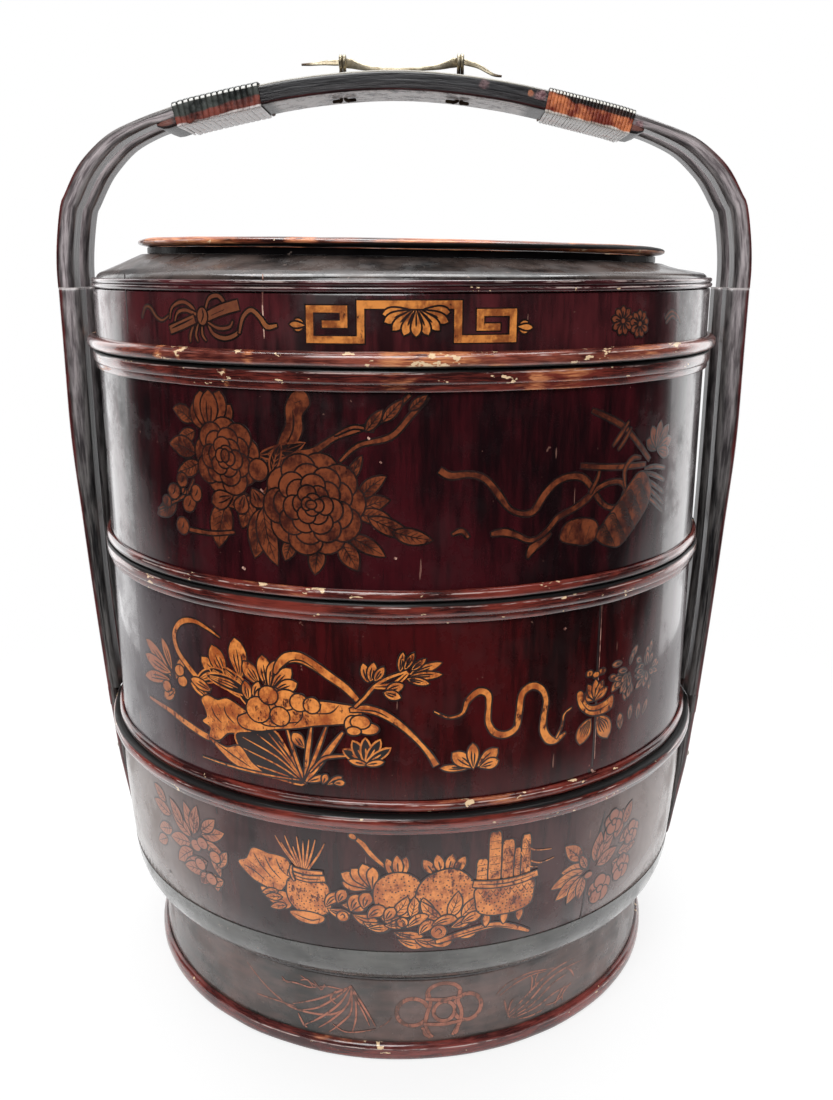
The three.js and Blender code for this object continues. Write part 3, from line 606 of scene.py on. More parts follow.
def loft(name, rings, sharpest=40, marks=None, alongs=None):
    # a closed skin through rings of points, its ends filled; the finish may read marks, which go round
    # each ring, and a number for each ring along the piece
    around = len(rings[0])
    last = len(rings) - 1
    alone()
    bpy.ops.mesh.primitive_grid_add(x_subdivisions=last, y_subdivisions=around, size=2)
    piece = bpy.context.object
    piece.name = name
    rows = [round((corner.co.x + 1) / 2 * last) for corner in piece.data.vertices]
    places = [round((corner.co.y + 1) / 2 * around) % around for corner in piece.data.vertices]
    for corner, row, index in zip(piece.data.vertices, rows, places):
        corner.co = Vector(rings[row][index]) * mm
    if marks:
        mark = piece.data.attributes.new("mark", "FLOAT", "POINT")
        mark.data.foreach_set("value", [marks[index] for index in places])
        along = piece.data.attributes.new("along", "FLOAT", "POINT")
        along.data.foreach_set("value", [alongs[row] * mm for row in rows])
    return closeUp(piece, sharpest=sharpest)


def ringSize(node):
    # outer radius, lowest and highest level of a ring in the frame
    low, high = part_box(node)
    return high.x / mm, low.z / mm, high.z / mm


def halfRound(inner, outer, low, high, steps=12, fullness=2.4):
    middle, half = (low + high) / 2, (high - low) / 2
    points = []
    for step in range(steps + 1):
        angle = math.pi * (step / steps - 0.5)
        out = abs(math.cos(angle)) ** (2 / fullness)
        up = math.copysign(abs(math.sin(angle)) ** (2 / fullness), math.sin(angle))
        points.append((inner + (outer - inner) * out, middle + half * up))
    return points


def roundedSection(halfWide, halfDeep, corner, flatSteps=6, cornerSteps=4, inner=None):
    # points round a rectangle with round corners; those on its inner side may have their own radius
    points = []
    for side in range(4):
        signX = 1 if side in (0, 3) else -1
        signY = 1 if side in (0, 1) else -1
        radius = corner if inner is None or signX > 0 else inner
        centre = (signX * (halfWide - radius), signY * (halfDeep - radius))
        for step in range(cornerSteps + 1):
            angle = (side + step / cornerSteps) * math.pi / 2
            points.append((centre[0] + radius * math.cos(angle), centre[1] + radius * math.sin(angle)))
    full = []
    for index, point in enumerate(points):
        full.append(point)
        following = points[(index + 1) % len(points)]
        if index % (cornerSteps + 1) == cornerSteps:
            for step in range(1, flatSteps):
                share = step / flatSteps
                full.append(tuple(a + (b - a) * share for a, b in zip(point, following)))
    return full


def handmade(piece, amount, grain):
    # small uneven places left by the hand, in a noise of the given grain
    for corner in piece.data.vertices:
        drift = noise.noise_vector(corner.co / (grain * mm))
        corner.co += Vector((drift.x, drift.y, drift.z * 0.6)) * amount * mm


def ease(value, low, high):
    share = min(max((value - low) / (high - low), 0), 1)
    return share * share * (3 - 2 * share)


settled = {"down": 1, "tilt": 2.4, "whole": 137, "none": 163}


def settle(piece):
    # the gallery has sunk a little into the dome, most on its right
    for corner in piece.data.vertices:
        x, y, z = corner.co / mm
        share = 1 - ease(math.hypot(x, y), settled["whole"], settled["none"])
        corner.co.z -= (settled["down"] + settled["tilt"] * x / settled["whole"]) * share * mm


# Trays, foot and lid

trayWall = {"thick": 5, "lip": 1, "spigot": 4}
# a half-round over a flatter band; the other hoops are half-round all over
mouthHoop = {"band": 1.4, "bandHigh": 3, "wander": 0.4, "grain": 22, "crest": 0.74}
hoops = {
    # how deep a hoop at a tray's mouth is, or another's inner radius; how far it is rubbed and chipped, and
    # its light and dark tones where they aren't the usual ones; scars in degrees from the front towards the
    # right, with their reach to either side
    "foot_hoop": {"body": "basket_frame", "inner": 144.8, "worn": (0.05, 0.02, (132, 62, 56), (60, 26, 26))},
    "base_rim": {"body": "basket_frame", "deep": 4.5},
    "middle_rim": {"body": "middle_tray", "deep": 2.7},
    "middle_heel_hoop": {"body": "middle_tray", "inner": 162.3, "worn": (0.02, 0.02)},
    "upper_rim": {"body": "upper_tray", "deep": 2.7, "scars": ((-25, 5), (22, 4))},
    "upper_heel_hoop": {"body": "upper_tray", "inner": 162.3, "worn": (0, 0.02)},
    "lid_rim": {
        "body": "lid", "inner": 163.1, "worn": (0.11, 0.07, (150, 78, 62), (66, 26, 24)),
        "scars": ((4.5, 17), (-20.3, 6), (-33, 2), (-37.4, 3.4))},
    "gallery_rim": {
        "body": "lid", "inner": 130.5, "worn": (0.24, 0.04, (150, 74, 46), (40, 18, 16)),
        "scars": ((-16, 6), (12, 9), (38, 8))},
}


def wallProfile(inner, outer, low, high, lip=trayWall["lip"]):
    return [
        (inner, low), (outer, low), (outer, high - lip),
        (outer - lip * 0.3, high - lip * 0.3), (outer - lip, high),
        (inner + lip, high), (inner + lip * 0.3, high - lip * 0.3), (inner, high - lip),
    ]


def plainRing(name, node, thick, *rest):
    outer, low, high = ringSize(node)
    place(spunRing(name, wallProfile(outer - thick, outer, low, high)), *rest, node)


def makeTrays():
    for body, name in (("middle_tray", "middle"), ("upper_tray", "upper")):
        plainRing(f"{name}_tray_wall", f"{name}_wall", trayWall["thick"], name, body, "red_brown_lacquer")
        plainRing(
            f"{name}_tray_spigot", f"{name}_spigot", trayWall["spigot"], "inside", body, "inside_lacquer")
    print("trays made")


def makeHoops():
    for node, hoop in hoops.items():
        outer, low, high = ringSize(node)
        if "deep" in hoop:
            inner = outer - hoop["deep"]
            band = inner + mouthHoop["band"]
            ledge, seam = low + mouthHoop["bandHigh"], high
            profile = [
                (inner, low), (band - 0.4, low), (band, low + 0.5), (band, ledge - 0.3),
                *halfRound(band, outer, ledge, high), (inner, high)]
        else:
            ledge = seam = low
            profile = halfRound(hoop["inner"], outer, low, high)
        cane = spunRing(f"{node}_cane", profile)
        handmade(cane, mouthHoop["wander"], mouthHoop["grain"])
        if node == "gallery_rim":
            settle(cane)
        wear, chips, *tones = hoop.get("worn", (0.05, 0.025))
        # the painted highlight line runs this share of the way up the half-round
        highlightCrests = [ledge + (high - ledge) * mouthHoop["crest"]]
        nodeScars = hoop.get("scars", ())
        finishes[node] = hoopFinish(f"{node}_lacquer", wear, chips, seam, highlightCrests, nodeScars, *tones)
        place(cane, node, hoop["body"], "worn_hoop_lacquer", node)
    print("hoops made")


baseShape = {
    "wall": 5, "waist": 6,
    "line": 0.5,  # a fine groove between the bowl and the wall
    "flare": [(0, 0), (0.23, 0.42), (0.57, 0.91), (0.87, 1), (1, 1)],  # height and reach of the wall
}
belly, bowlLow, bellyLevel = ringSize("base_bowl")
mouth, wallLow, baseTop = ringSize("base_wall")
spring = ringSize("foot_drum")[0] + 1.5  # radius where the bowl starts


def bowlArc(start, end, low, high, steps=14):
    points = []
    for step in range(steps + 1):
        angle = math.pi / 2 * step / steps
        points.append((start + (end - start) * math.sin(angle), high - (high - low) * math.cos(angle)))
    return points


def makeBase():
    thick = baseShape["wall"]
    outside = bowlArc(spring, belly, bowlLow, bellyLevel - baseShape["line"])
    outside += reversed(bowlArc(spring - thick, belly - thick, bowlLow, bellyLevel - baseShape["line"], 8))
    bowl = spunRing("base_tray_bowl", outside)
    place(bowl, "bowl", "basket_frame", "dark_lacquer", "base_bowl")
    outside = [(belly - 0.5, bellyLevel - baseShape["line"]), (belly - 0.1, bellyLevel)]
    for height, flare in baseShape["flare"][1:]:
        outside.append((belly + (mouth - belly) * flare, bellyLevel + (baseTop - bellyLevel) * height))
    outside += [(mouth - thick, baseTop), (belly - thick, bellyLevel - baseShape["line"])]
    wall = spunRing("base_tray_wall", outside)
    place(wall, "base", "basket_frame", "red_brown_lacquer", "base_wall")
    plainRing("foot_ring", "foot_drum", thick, "foot", "basket_frame", "dark_lacquer")
    outer, low, high = ringSize("waist_moulding")
    waist = spunRing("waist_bead", halfRound(outer - baseShape["waist"], outer, low, high))
    place(waist, "dark", "basket_frame", "dark_lacquer", "waist_moulding")
    print("base made")


lidShape = {
    "side": 6.3, "ring": 4, "neck": 4, "neckLip": 0.3,
    "bead": 1.2, "beadBack": 2.5, "upperBeadIn": 0.25, "beadCrest": 0.7,
    "thick": 4.5, "edge": 9,
    "flat": 136.5,  # radius where the slope ends
    "middle": 60,  # radius of one more ring of corners
    # inwards and up the slope
    "slope": [(0, 0), (0.03, 0.12), (0.08, 0.22), (0.3, 0.4), (0.6, 0.65), (0.8, 0.84), (0.94, 0.98), (1, 1)],
}


def makeLid():
    plainRing("lid_side", "lid_wall", lidShape["side"], "lid", "lid", "red_brown_lacquer")
    plainRing("lid_locating_ring", "lid_spigot", lidShape["ring"], "inside", "lid", "inside_lacquer")
    outer, low, shoulder = ringSize("lid_shoulder_bead")
    middle, back = (low + shoulder) / 2, outer - lidShape["beadBack"]
    lower = halfRound(outer - lidShape["bead"], outer, low, middle, 8, 2)
    upper = halfRound(outer - lidShape["bead"], outer - lidShape["upperBeadIn"], middle, shoulder, 8, 2)
    beads = spunRing("lid_double_bead", [(back, low), *lower, *upper, (back, shoulder)])
    # painted highlight lines run along the crests of the double bead
    crest = lidShape["beadCrest"]
    highlightCrests = [low + (middle - low) * crest, middle + (shoulder - middle) * crest]
    finishes["beads"] = hoopFinish("shoulder_lacquer", 0, 0, 0, highlightCrests, (), (82, 34, 38), (40, 18, 20))
    place(beads, "beads", "lid", "dark_lacquer", "lid_shoulder_bead")
    outer, low, high = ringSize("lid_dome")
    flat = lidShape["flat"]
    slope = []
    for along, up in lidShape["slope"]:
        slope.append((outer + (flat - outer) * along, shoulder + (high - shoulder) * up))
    under = high - lidShape["thick"]
    profile = [
        (0, under), (flat - 4, under), (outer - lidShape["edge"], low), (outer, low), *slope,
        (lidShape["middle"], high), (0, high)]
    dome = spunRing("lid_top", profile, solid=True)
    settle(dome)
    place(dome, "dome", "lid", "dark_lacquer", "lid_dome")
    outer, low, high = ringSize("gallery_neck")
    inner, lip = outer - lidShape["neck"], lidShape["neckLip"]
    neck = spunRing("gallery_wall", wallProfile(inner, outer, low, high, lip))
    settle(neck)
    place(neck, "neck", "lid", "dark_lacquer", "gallery_neck")
    print("lid made")


# Handle

archShares = [
    (0, 1), (0.275, 0.962), (0.552, 0.866), (0.665, 0.813), (0.777, 0.745), (0.836, 0.693),
    (0.893, 0.612), (0.926, 0.545), (0.958, 0.45), (0.976, 0.388), (0.993, 0.23), (1, 0.1), (1, 0),
]  # reach and rise, from the crown down to the legs
handle = {
    "gripThick": 5.6, "sideThick": 9, "wide": 13, "apart": 13.2,
    "grip": 129, "padThick": 3.8, "padGap": 0.3, "seam": 0.04, "nose": 5, "noseIn": 1.6, "steps": 150,
    "lean": 3.6,  # the left shoulder stands higher than the right
    "letIn": 0.5, "raised": 0.9,
}
gripHalf = handle["apart"] / 2 + handle["wide"]
gripDeep = handle["gripThick"] + handle["padGap"] + handle["padThick"]


def smoothCurve(points, perSpan=10):
    # a curve through every point
    curve = []
    for index in range(len(points) - 1):
        before = points[max(index - 1, 0)]
        start, end = points[index], points[index + 1]
        after = points[min(index + 2, len(points) - 1)]
        for step in range(perSpan):
            t = step / perSpan
            curve.append(tuple(
                0.5 * (2 * b + (c - a) * t + (2 * a - 5 * b + 4 * c - d) * t * t
                       + (3 * b - a - 3 * c + d) * t * t * t)
                for a, b, c, d in zip(before, start, end, after)
            ))
    curve.append(tuple(points[-1]))
    return curve


class Route:
    # places along a flat curve by their distance from its start
    def __init__(self, points):
        self.points = [Vector(point) for point in points]
        self.reached = [0]
        for a, b in zip(self.points, self.points[1:]):
            self.reached.append(self.reached[-1] + (b - a).length)
        self.length = self.reached[-1]

    def at(self, distance):
        # the place and the direction there
        distance = min(max(distance, 0), self.length)
        index = 0
        while index < len(self.reached) - 2 and self.reached[index + 1] < distance:
            index += 1
        start, end = self.points[index], self.points[index + 1]
        share = (distance - self.reached[index]) / (self.reached[index + 1] - self.reached[index])
        before = self.points[max(index - 1, 0)]
        after = self.points[min(index + 2, len(self.points) - 1)]
        heading = (end - before).normalized().lerp((after - start).normalized(), share)
        return start.lerp(end, share), heading.normalized()


def makeArch():
    low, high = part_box("front_hoop")
    reach, foot, crown = high.x / mm, low.z / mm - handle["letIn"], high.z / mm + handle["raised"]
    places = []
    for side, shares in ((-1, reversed(archShares[1:])), (1, archShares)):
        for across, up in shares:
            lean = -side * handle["lean"] * across * (1 - across ** 4)
            places.append((side * reach * across, foot + (crown - foot) * up + lean))
    return Route(smoothCurve(places))


arch = makeArch()
crownReached = max(reached for reached, point in zip(arch.reached, arch.points) if point.x <= 0.01)


def archPlace(distance, across, depth):
    # distance from the crown along the arch, across it to the back, and depth below its top face
    half = crownReached if distance < 0 else arch.length - crownReached
    spot, heading = arch.at(crownReached + distance * half / (arch.length / 2))
    return Vector((spot.x + heading.y * depth, across, spot.y - heading.x * depth))


def hoopThick(distance):
    start = handle["grip"]
    end = (start + arch.length / 2) / 2
    grown = ease(abs(distance), start, end)
    return handle["gripThick"] + (handle["sideThick"] - handle["gripThick"]) * grown


def archPiece(name, reach, middle, halfWide, top, bottom, corner, steps, inner=None):
    # halfWide, top, bottom and inner, the lower corners' radius, are asked at each distance from the crown
    rings, alongs = [], []
    for step in range(steps + 1):
        distance = reach * (2 * step / steps - 1)
        half = (bottom(distance) - top(distance)) / 2
        depth = (bottom(distance) + top(distance)) / 2
        most = half * 0.95
        lower = inner and min(inner(distance), most)
        section = roundedSection(half, halfWide(distance), min(corner, most), inner=lower)
        rings.append([archPlace(distance, middle + across, depth - out) for out, across in section])
        alongs.append(distance)
        marks = [0.5 + out / (2 * half) for out, across in section]
    return loft(name, rings, marks=marks, alongs=alongs)


def makeHandle():
    finishes["handle"] = handleFinish("handle_lacquer_coat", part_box("front_right_leg")[1].z - 0.0004)
    middle = (handle["apart"] + handle["wide"]) / 2
    for name, side in (("front", -1), ("back", 1)):
        strip = archPiece(
            f"{name}_bent_hoop", arch.length / 2, side * middle, lambda distance: handle["wide"] / 2,
            lambda distance: 0, hoopThick, 1.6, handle["steps"],
            lambda distance: 0.08 + 1.52 * ease(abs(distance), handle["grip"] - 4, handle["grip"] + 6))
        place(strip, "handle", "basket_frame", "handle_lacquer", f"{name}_hoop")
    core = archPiece(
        "grip_filler", handle["grip"], 0, lambda distance: handle["apart"] / 2 - 0.3,
        lambda distance: 0, lambda distance: handle["gripThick"], 0.5, 60)
    place(core, "handle", "basket_frame", "handle_lacquer", "grip_core")
    under = handle["gripThick"] + handle["seam"]

    def nose(distance, reach):
        # 0 at the tips of the rounded noses, 1 from where they end
        fromEnd = min((handle["grip"] - abs(distance)) / reach, 1)
        return math.sqrt(max(1 - (1 - fromEnd) ** 2, 0))

    def padBottom(distance):
        return under + (gripDeep - under) * (0.35 + 0.65 * nose(distance, 2 * handle["padThick"]))

    def padWide(distance):
        return gripHalf - handle["noseIn"] * (1 - nose(distance, handle["nose"]))

    pad = archPiece(
        "grip_under_pad", handle["grip"], 0, padWide, lambda distance: under, padBottom, 0.08, 90,
        lambda distance: 1.4)
    place(pad, "pad", "basket_frame", "handle_lacquer", "grip_pad")
    print("handle made")


# Legs

legShape = {
    "outer": [(1, 1), (0.838, 1), (0.655, 0.97), (0.463, 0.718), (0.263, 0.436), (0.054, 0.1), (0, 0)],
    "tail": [(1, 1), (0.843, 0.903), (0.55, 0.724), (0.234, 0.393), (0.082, 0.248), (0.023, 0.17), (0, 0)],
    "inner": [(1, 1), (0.673, 1), (0.459, 0.91), (0.301, 0.73), (0.16, 0.42), (0.032, 0), (0, 0)],
    "overRim": 4.7, "overTray": 1.5, "thick": 11.8, "wide": 13, "fit": 0.3, "corner": 2.6, "steps": 110,
    "reeds": 4, "reedDeep": 0.45, "reedTop": (40, 8),  # the reeds fade between these, measured from the top
    "ledge": 0.07, "ledgeEnd": (4, 26),  # share that the top is wider than the hoop on it, and where it fades
}


def between(table, low, high, share):
    # reads a table of height and reach shares
    curve = smoothCurve(table, 8)
    for (upper, reachUp), (lower, reachLow) in zip(curve, curve[1:]):
        if lower <= share <= upper and upper > lower:
            reach = reachLow + (reachUp - reachLow) * (share - lower) / (upper - lower)
            return low + (high - low) * reach
    return high if share > 0.5 else low


def baseOutsideAt(level):
    if level < bellyLevel:
        drop = min((bellyLevel - level) / (bellyLevel - bowlLow), 1)
        return spring + (belly - spring) * math.sqrt(1 - drop * drop)
    share = (level - bellyLevel) / (baseTop - bellyLevel)
    for (low, out), (high, further) in zip(baseShape["flare"], baseShape["flare"][1:]):
        if low <= share <= high:
            return belly + (mouth - belly) * (out + (further - out) * (share - low) / (high - low))
    return mouth


def makeLegs():
    low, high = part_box("front_right_leg")
    tip, top, outerTop = low.z / mm, high.z / mm, high.x / mm
    rimOut, rimLow, rimHigh = ringSize("base_rim")
    trayRim = ringSize("middle_rim")[0]
    notch = (rimLow + rimHigh) / 2
    notchOut = rimOut + legShape["overRim"]
    tipOut = spring + (belly - spring) * 7 / 8
    toe = trayRim + legShape["overTray"]
    innerTop = outerTop - legShape["thick"]
    fit = legShape["fit"]
    levels = [top + (tip - top) * step / legShape["steps"] for step in range(legShape["steps"] + 1)]
    levels += [top - 0.4]
    levels += [edge + aside for edge in (rimHigh + fit, rimLow - fit) for aside in (0.01, -0.01)]
    sections = []
    for level in sorted(levels, reverse=True):
        if level > notch:
            share = (level - notch) / (top - notch)
            outer = between(legShape["outer"], notchOut, outerTop, share)
            inner = between(legShape["inner"], toe, innerTop, share)
        else:
            outer = between(legShape["tail"], tipOut, notchOut, (level - tip) / (notch - tip))
            inner = toe
        if level < rimHigh + fit:
            inner = rimOut + fit if level > rimLow - fit else baseOutsideAt(level) + fit
        sections.append((level, inner, max(outer, inner + 0.6)))
    halfWide = legShape["wide"] / 2
    reedLow, reedHigh = legShape["reedTop"]
    alongs = [-level for level, inner, outer in sections]
    for facing, side in (("front", -1), ("back", 1)):
        for name, flip in (("left", -1), ("right", 1)):
            middle = side * (handle["apart"] + legShape["wide"]) / 2
            rings = []
            marks = None
            for level, inner, outer in sections:
                half = (outer - inner) / 2
                section = roundedSection(half, halfWide, min(legShape["corner"], half * 0.9), 16, 4)
                marks = marks or [0.5 + out / (2 * half) for out, across in section]
                reeded = 1 - ease(level, top - reedLow, top - reedHigh)
                ledge = min((top - level) / 0.4, 1) * (1 - ease(top - level, *legShape["ledgeEnd"]))
                ring = []
                for out, across in section:
                    if abs(across) > halfWide - 0.01:
                        wave = 0.5 - 0.5 * math.cos(fullTurn * legShape["reeds"] * (out + half) / (2 * half))
                        across -= math.copysign(
                            wave * legShape["reedDeep"] * reeded * min(half / 4, 1), across)
                    across *= 1 + ledge * legShape["ledge"]
                    ring.append((flip * (inner + half + out), middle + across, level))
                rings.append(ring)
            leg = loft(f"{facing}_{name}_reeded_leg", rings, 50, marks, alongs)
            place(leg, "handle", "basket_frame", "handle_lacquer", f"{facing}_{name}_leg")
    print("legs made")


wraps = {
    # wide and thick, how many turns, where they start and end from the crown
    "left": {
        "side": -1, "wide": 3.1, "thick": 1.1, "turns": 15, "start": 70.4, "end": 119.2,
        "finish": "darkRattan"},
    "right": {
        "side": 1, "wide": 1.74, "thick": 0.95, "turns": 26, "start": 75.4, "end": 122.6,
        "finish": "rubbedRattan"},
}
wrapGap = 0.3
strandSides = 10


def wrapLoop(stand):
    # places once round the grip: across, depth, and the way out of it
    corners = [
        (gripHalf, gripDeep, 90), (gripHalf, 0, 0), (-gripHalf, 0, -90), (-gripHalf, gripDeep, -180)]
    loop = []
    for index, (across, depth, start) in enumerate(corners):
        for step in range(5):
            angle = math.radians(start - 90 * step / 4)
            out = (math.cos(angle), math.sin(angle))
            loop.append((across + stand * out[0], depth + stand * out[1], *out))
        following = corners[(index + 1) % 4]
        for step in range(1, 5):
            share = step / 5
            spot = [a + (b - a) * share for a, b in zip((across, depth), following)]
            loop.append((spot[0] + stand * out[0], spot[1] + stand * out[1], *out))
    return loop


def makeRattan():
    for name, wrap in wraps.items():
        loop = wrapLoop(wrapGap + wrap["thick"] / 2)
        count = len(loop)
        pitch = (wrap["end"] - wrap["start"] - wrap["wide"]) / wrap["turns"]
        total = wrap["turns"] * count
        hand = random.Random(name)
        drift = [hand.uniform(-0.5, 0.5) * pitch * 0.09 for turn in range(wrap["turns"] + 2)]
        rings, alongs = [], []
        for index in range(total + 1):
            turn, share = divmod(index / count, 1)
            wander = drift[int(turn)] + (drift[int(turn) + 1] - drift[int(turn)]) * share
            distance = wrap["start"] + wrap["wide"] / 2 + pitch * index / count + wander
            across, depth, outAcross, outDepth = loop[index % count]
            ends = ease(min(index, total - index), -1, 7)  # both ends are thinned and tucked under
            ring = []
            for corner in range(strandSides):
                angle = fullTurn * corner / strandSides
                wide = math.copysign(abs(math.cos(angle)) ** 0.7, math.cos(angle)) * wrap["wide"] / 2
                thick = math.sin(angle) * wrap["thick"] / 2
                out = thick * ends + (ends - 1) * wrapGap * 0.5
                reach = wrap["side"] * (distance + wide * (0.3 + 0.7 * ends))
                ring.append(archPlace(reach, across + outAcross * out, depth + outDepth * out))
            rings.append(ring)
            alongs.append(depth)
        marks = [abs(math.sin(fullTurn * corner / strandSides)) for corner in range(strandSides)]
        wound = loft(f"{name}_rattan_wrap", rings, 60, marks, alongs)
        place(wound, wrap["finish"], "basket_frame", "rattan", f"{name}_rattan_binding")
    print("rattan made")


# Brass

bailShape = {
    "axis": 490.8, "eyes": 30.65, "reach": 15, "lean": 23, "tail": 21.5, "drop": {-1: 0.8, 1: 7},
    "thick": 0.9, "sides": 14,
    "upright": 20,  # degrees that the blade's broad side leans back
    # share of the way to the eye, reach, half width
    "bow": [
        (0, 1, 0.9), (0.33, 0.93, 1.05), (0.6, 0.72, 1.5), (0.8, 0.34, 2.1), (0.91, 0.1, 2.55), (1, 0, 1.6)],
    # share of the tail, reach, drop, half width
    "end": [(0.14, 0.02, 0.06, 1.7), (0.45, -0.02, 0.36, 1.35), (0.78, 0.03, 0.88, 0.9), (1, 0.05, 1, 0.6)],
}


def makeBail():
    lean = math.radians(bailShape["lean"])
    halves = {}
    for side in (-1, 1):
        places = [(side * bailShape["eyes"] * along, -bailShape["reach"] * reach, 0, half)
                  for along, reach, half in bailShape["bow"]]
        places += [
            (side * (bailShape["eyes"] + bailShape["tail"] * along), -bailShape["reach"] * reach,
             -bailShape["drop"][side] * drop, half)
            for along, reach, drop, half in bailShape["end"]]
        halves[side] = places
    path = smoothCurve(halves[-1][::-1] + halves[1][1:], 8)
    upright = math.radians(bailShape["upright"])
    broad = Vector((0, math.sin(upright), math.cos(upright)))
    rings = []
    for index, (x, y, z, half) in enumerate(path):
        before, after = path[max(index - 1, 0)], path[min(index + 1, len(path) - 1)]
        ahead = Vector((after[0] - before[0], after[1] - before[1], after[2] - before[2]))
        ahead = Vector((ahead.x, ahead.y * math.cos(lean), ahead.z + ahead.y * math.sin(lean))).normalized()
        wide = (broad - ahead * broad.dot(ahead)).normalized()
        thin = ahead.cross(wide)
        spot = Vector((x, y * math.cos(lean), bailShape["axis"] + z + y * math.sin(lean)))
        ring = []
        for corner in range(bailShape["sides"]):
            angle = fullTurn * corner / bailShape["sides"]
            out = thin * math.sin(angle) * bailShape["thick"] / 2
            ring.append(spot + wide * math.cos(angle) * half + out)
        rings.append(ring)
    bail = loft("brass_drop_bail", rings, 50)
    place(bail, "bailBrass", "bail", "aged_brass", "brass_bail")
    print("bail made")


pinShape = {
    "distance": 30.7, "eye": 2.95, "wire": 0.92, "apart": 0.94, "gap": 0.3, "foot": 6.4, "around": 10,
    "opens": -80, "sweep": 335, "eyeSteps": 14,  # degrees
    "feet": [(1, 0, 0.7), (0.85, 0, 0.95), (0.5, -0.05, 1), (0.28, 0, 1)],  # share, deeper, thick
}


def tube(name, path, radius, around):
    # a round wire along a path, thinner where the path's fourth number is below 1
    rings = []
    side = Vector((1, 0, 0))
    for index, point in enumerate(path):
        before, after = path[max(index - 1, 0)], path[min(index + 1, len(path) - 1)]
        ahead = (Vector(after[:3]) - Vector(before[:3])).normalized()
        side = (side - ahead * side.dot(ahead)).normalized()
        other = ahead.cross(side)
        rings.append([
            Vector(point[:3]) + (side * math.cos(angle) + other * math.sin(angle)) * radius * point[3]
            for angle in (fullTurn * corner / around for corner in range(around))])
    return loft(name, rings, 60)


def makePins():
    under = gripDeep + pinShape["gap"] + pinShape["wire"]
    axis, eye = bailShape["axis"], pinShape["eye"]
    for name, side in (("left", -1), ("right", 1)):
        wires = []
        for part in (-1, 1):
            x = side * bailShape["eyes"] + part * pinShape["apart"]
            path = []
            for along, deeper, thick in pinShape["feet"]:
                distance = side * pinShape["distance"] + part * pinShape["foot"] * along
                path.append((*archPlace(distance, 0, under + deeper), thick))
            low = archPlace(side * pinShape["distance"], 0, under).z
            path += [(x, 0, level, 1) for level in (low + 1.6, low + 8, axis - eye - 1.4)]
            for step in range(pinShape["eyeSteps"] + 1):
                angle = math.radians(pinShape["opens"] + pinShape["sweep"] * step / pinShape["eyeSteps"])
                path.append((x, eye * math.cos(angle), axis + eye * math.sin(angle), 1))
            wires.append(tube(f"{name}_wire", smoothCurve(path, 4), pinShape["wire"], pinShape["around"]))
        alone()
        for wire in wires:
            wire.select_set(True)
        bpy.context.view_layer.objects.active = wires[0]
        bpy.ops.object.join()
        pin = bpy.context.object
        pin.name = f"{name}_brass_pin"
        place(pin, "pinBrass", "basket_frame", "aged_brass", f"{name}_split_pin")
    print("pins made")


plateShape = {"reach": 38, "pointed": 9, "tip": 1.2, "broad": 3.3, "top": -1.2, "under": -0.3}


def makePlate():
    def plateWide(distance):
        fromEnd = min((plateShape["reach"] - abs(distance)) / plateShape["pointed"], 1)
        return plateShape["tip"] + plateShape["broad"] * math.sin(math.pi / 2 * fromEnd)

    plate = archPiece(
        "brass_crown_plate", plateShape["reach"], 0, plateWide, lambda distance: plateShape["top"],
        lambda distance: plateShape["under"], 0.35, 60)
    place(plate, "brass", "basket_frame", "aged_brass", "brass_plate")


# radius and height of a domed head with a narrow brim, and its shank
studProfile = [
    (0, -5.4), (1, -5.4), (1, -1.7), (2.36, -1.7), (2.36, -1.5), (2.05, -1.4), (1.9, -1),
    (1.55, -0.5), (0.95, -0.12), (0, 0)]


def makeStuds():
    for facing in ("front", "back"):
        for name, flip in (("left", -1), ("right", 1)):
            low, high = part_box(f"{facing}_{name}_stud")
            across, level = (low.y + high.y) / 2 / mm, (low.z + high.z) / 2 / mm
            tip = max(high.x, -low.x) / mm
            stud = spunRing(f"{facing}_{name}_brass_stud", studProfile, True, 28)
            for corner in stud.data.vertices:
                x, y, z = corner.co / mm
                corner.co = Vector((flip * (tip + z), across + y, level + flip * x)) * mm
            place(stud, "brass", "basket_frame", "aged_brass", f"{facing}_{name}_stud")
    print("plate and studs made")


# Gilt painting, drawn flat: millimetres round the wall from the front, and height above the ground

brush = {
    "line": 0.74, "edge": 0.8,
    "step": 0.034, "gilt": 0.014, "lines": 0.024, "apart": 0.0006,  # heights
}


def turnsLeft(loop):
    return sum(a[0] * b[1] - b[0] * a[1] for a, b in zip(loop, loop[1:] + loop[:1])) > 0


def grown(loop, amount):
    # an outline moved outwards
    full = []
    for before, here, after in zip(loop[-1:] + loop[:-1], loop, loop[1:] + loop[:1]):
        out = [0, 0]
        for start, end in ((before, here), (here, after)):
            reach = math.hypot(end[0] - start[0], end[1] - start[1]) or 1
            out[0] += (end[1] - start[1]) / reach
            out[1] -= (end[0] - start[0]) / reach
        size = max(math.hypot(*out), 0.9)
        full.append((here[0] + out[0] / size * amount, here[1] + out[1] / size * amount))
    return full


def holds(loop, spot):
    inside = False
    for (x0, y0), (x1, y1) in zip(loop, loop[1:] + loop[:1]):
        if (y0 > spot[1]) != (y1 > spot[1]) and spot[0] < x0 + (spot[1] - y0) / (y1 - y0) * (x1 - x0):
            inside = not inside
    return inside


def meets(first, second):
    for axis in (0, 1):
        ours, theirs = [spot[axis] for spot in first], [spot[axis] for spot in second]
        if max(ours) < min(theirs) or max(theirs) < min(ours):
            return False
    return any(holds(first, spot) for spot in second) or any(holds(second, spot) for spot in first)


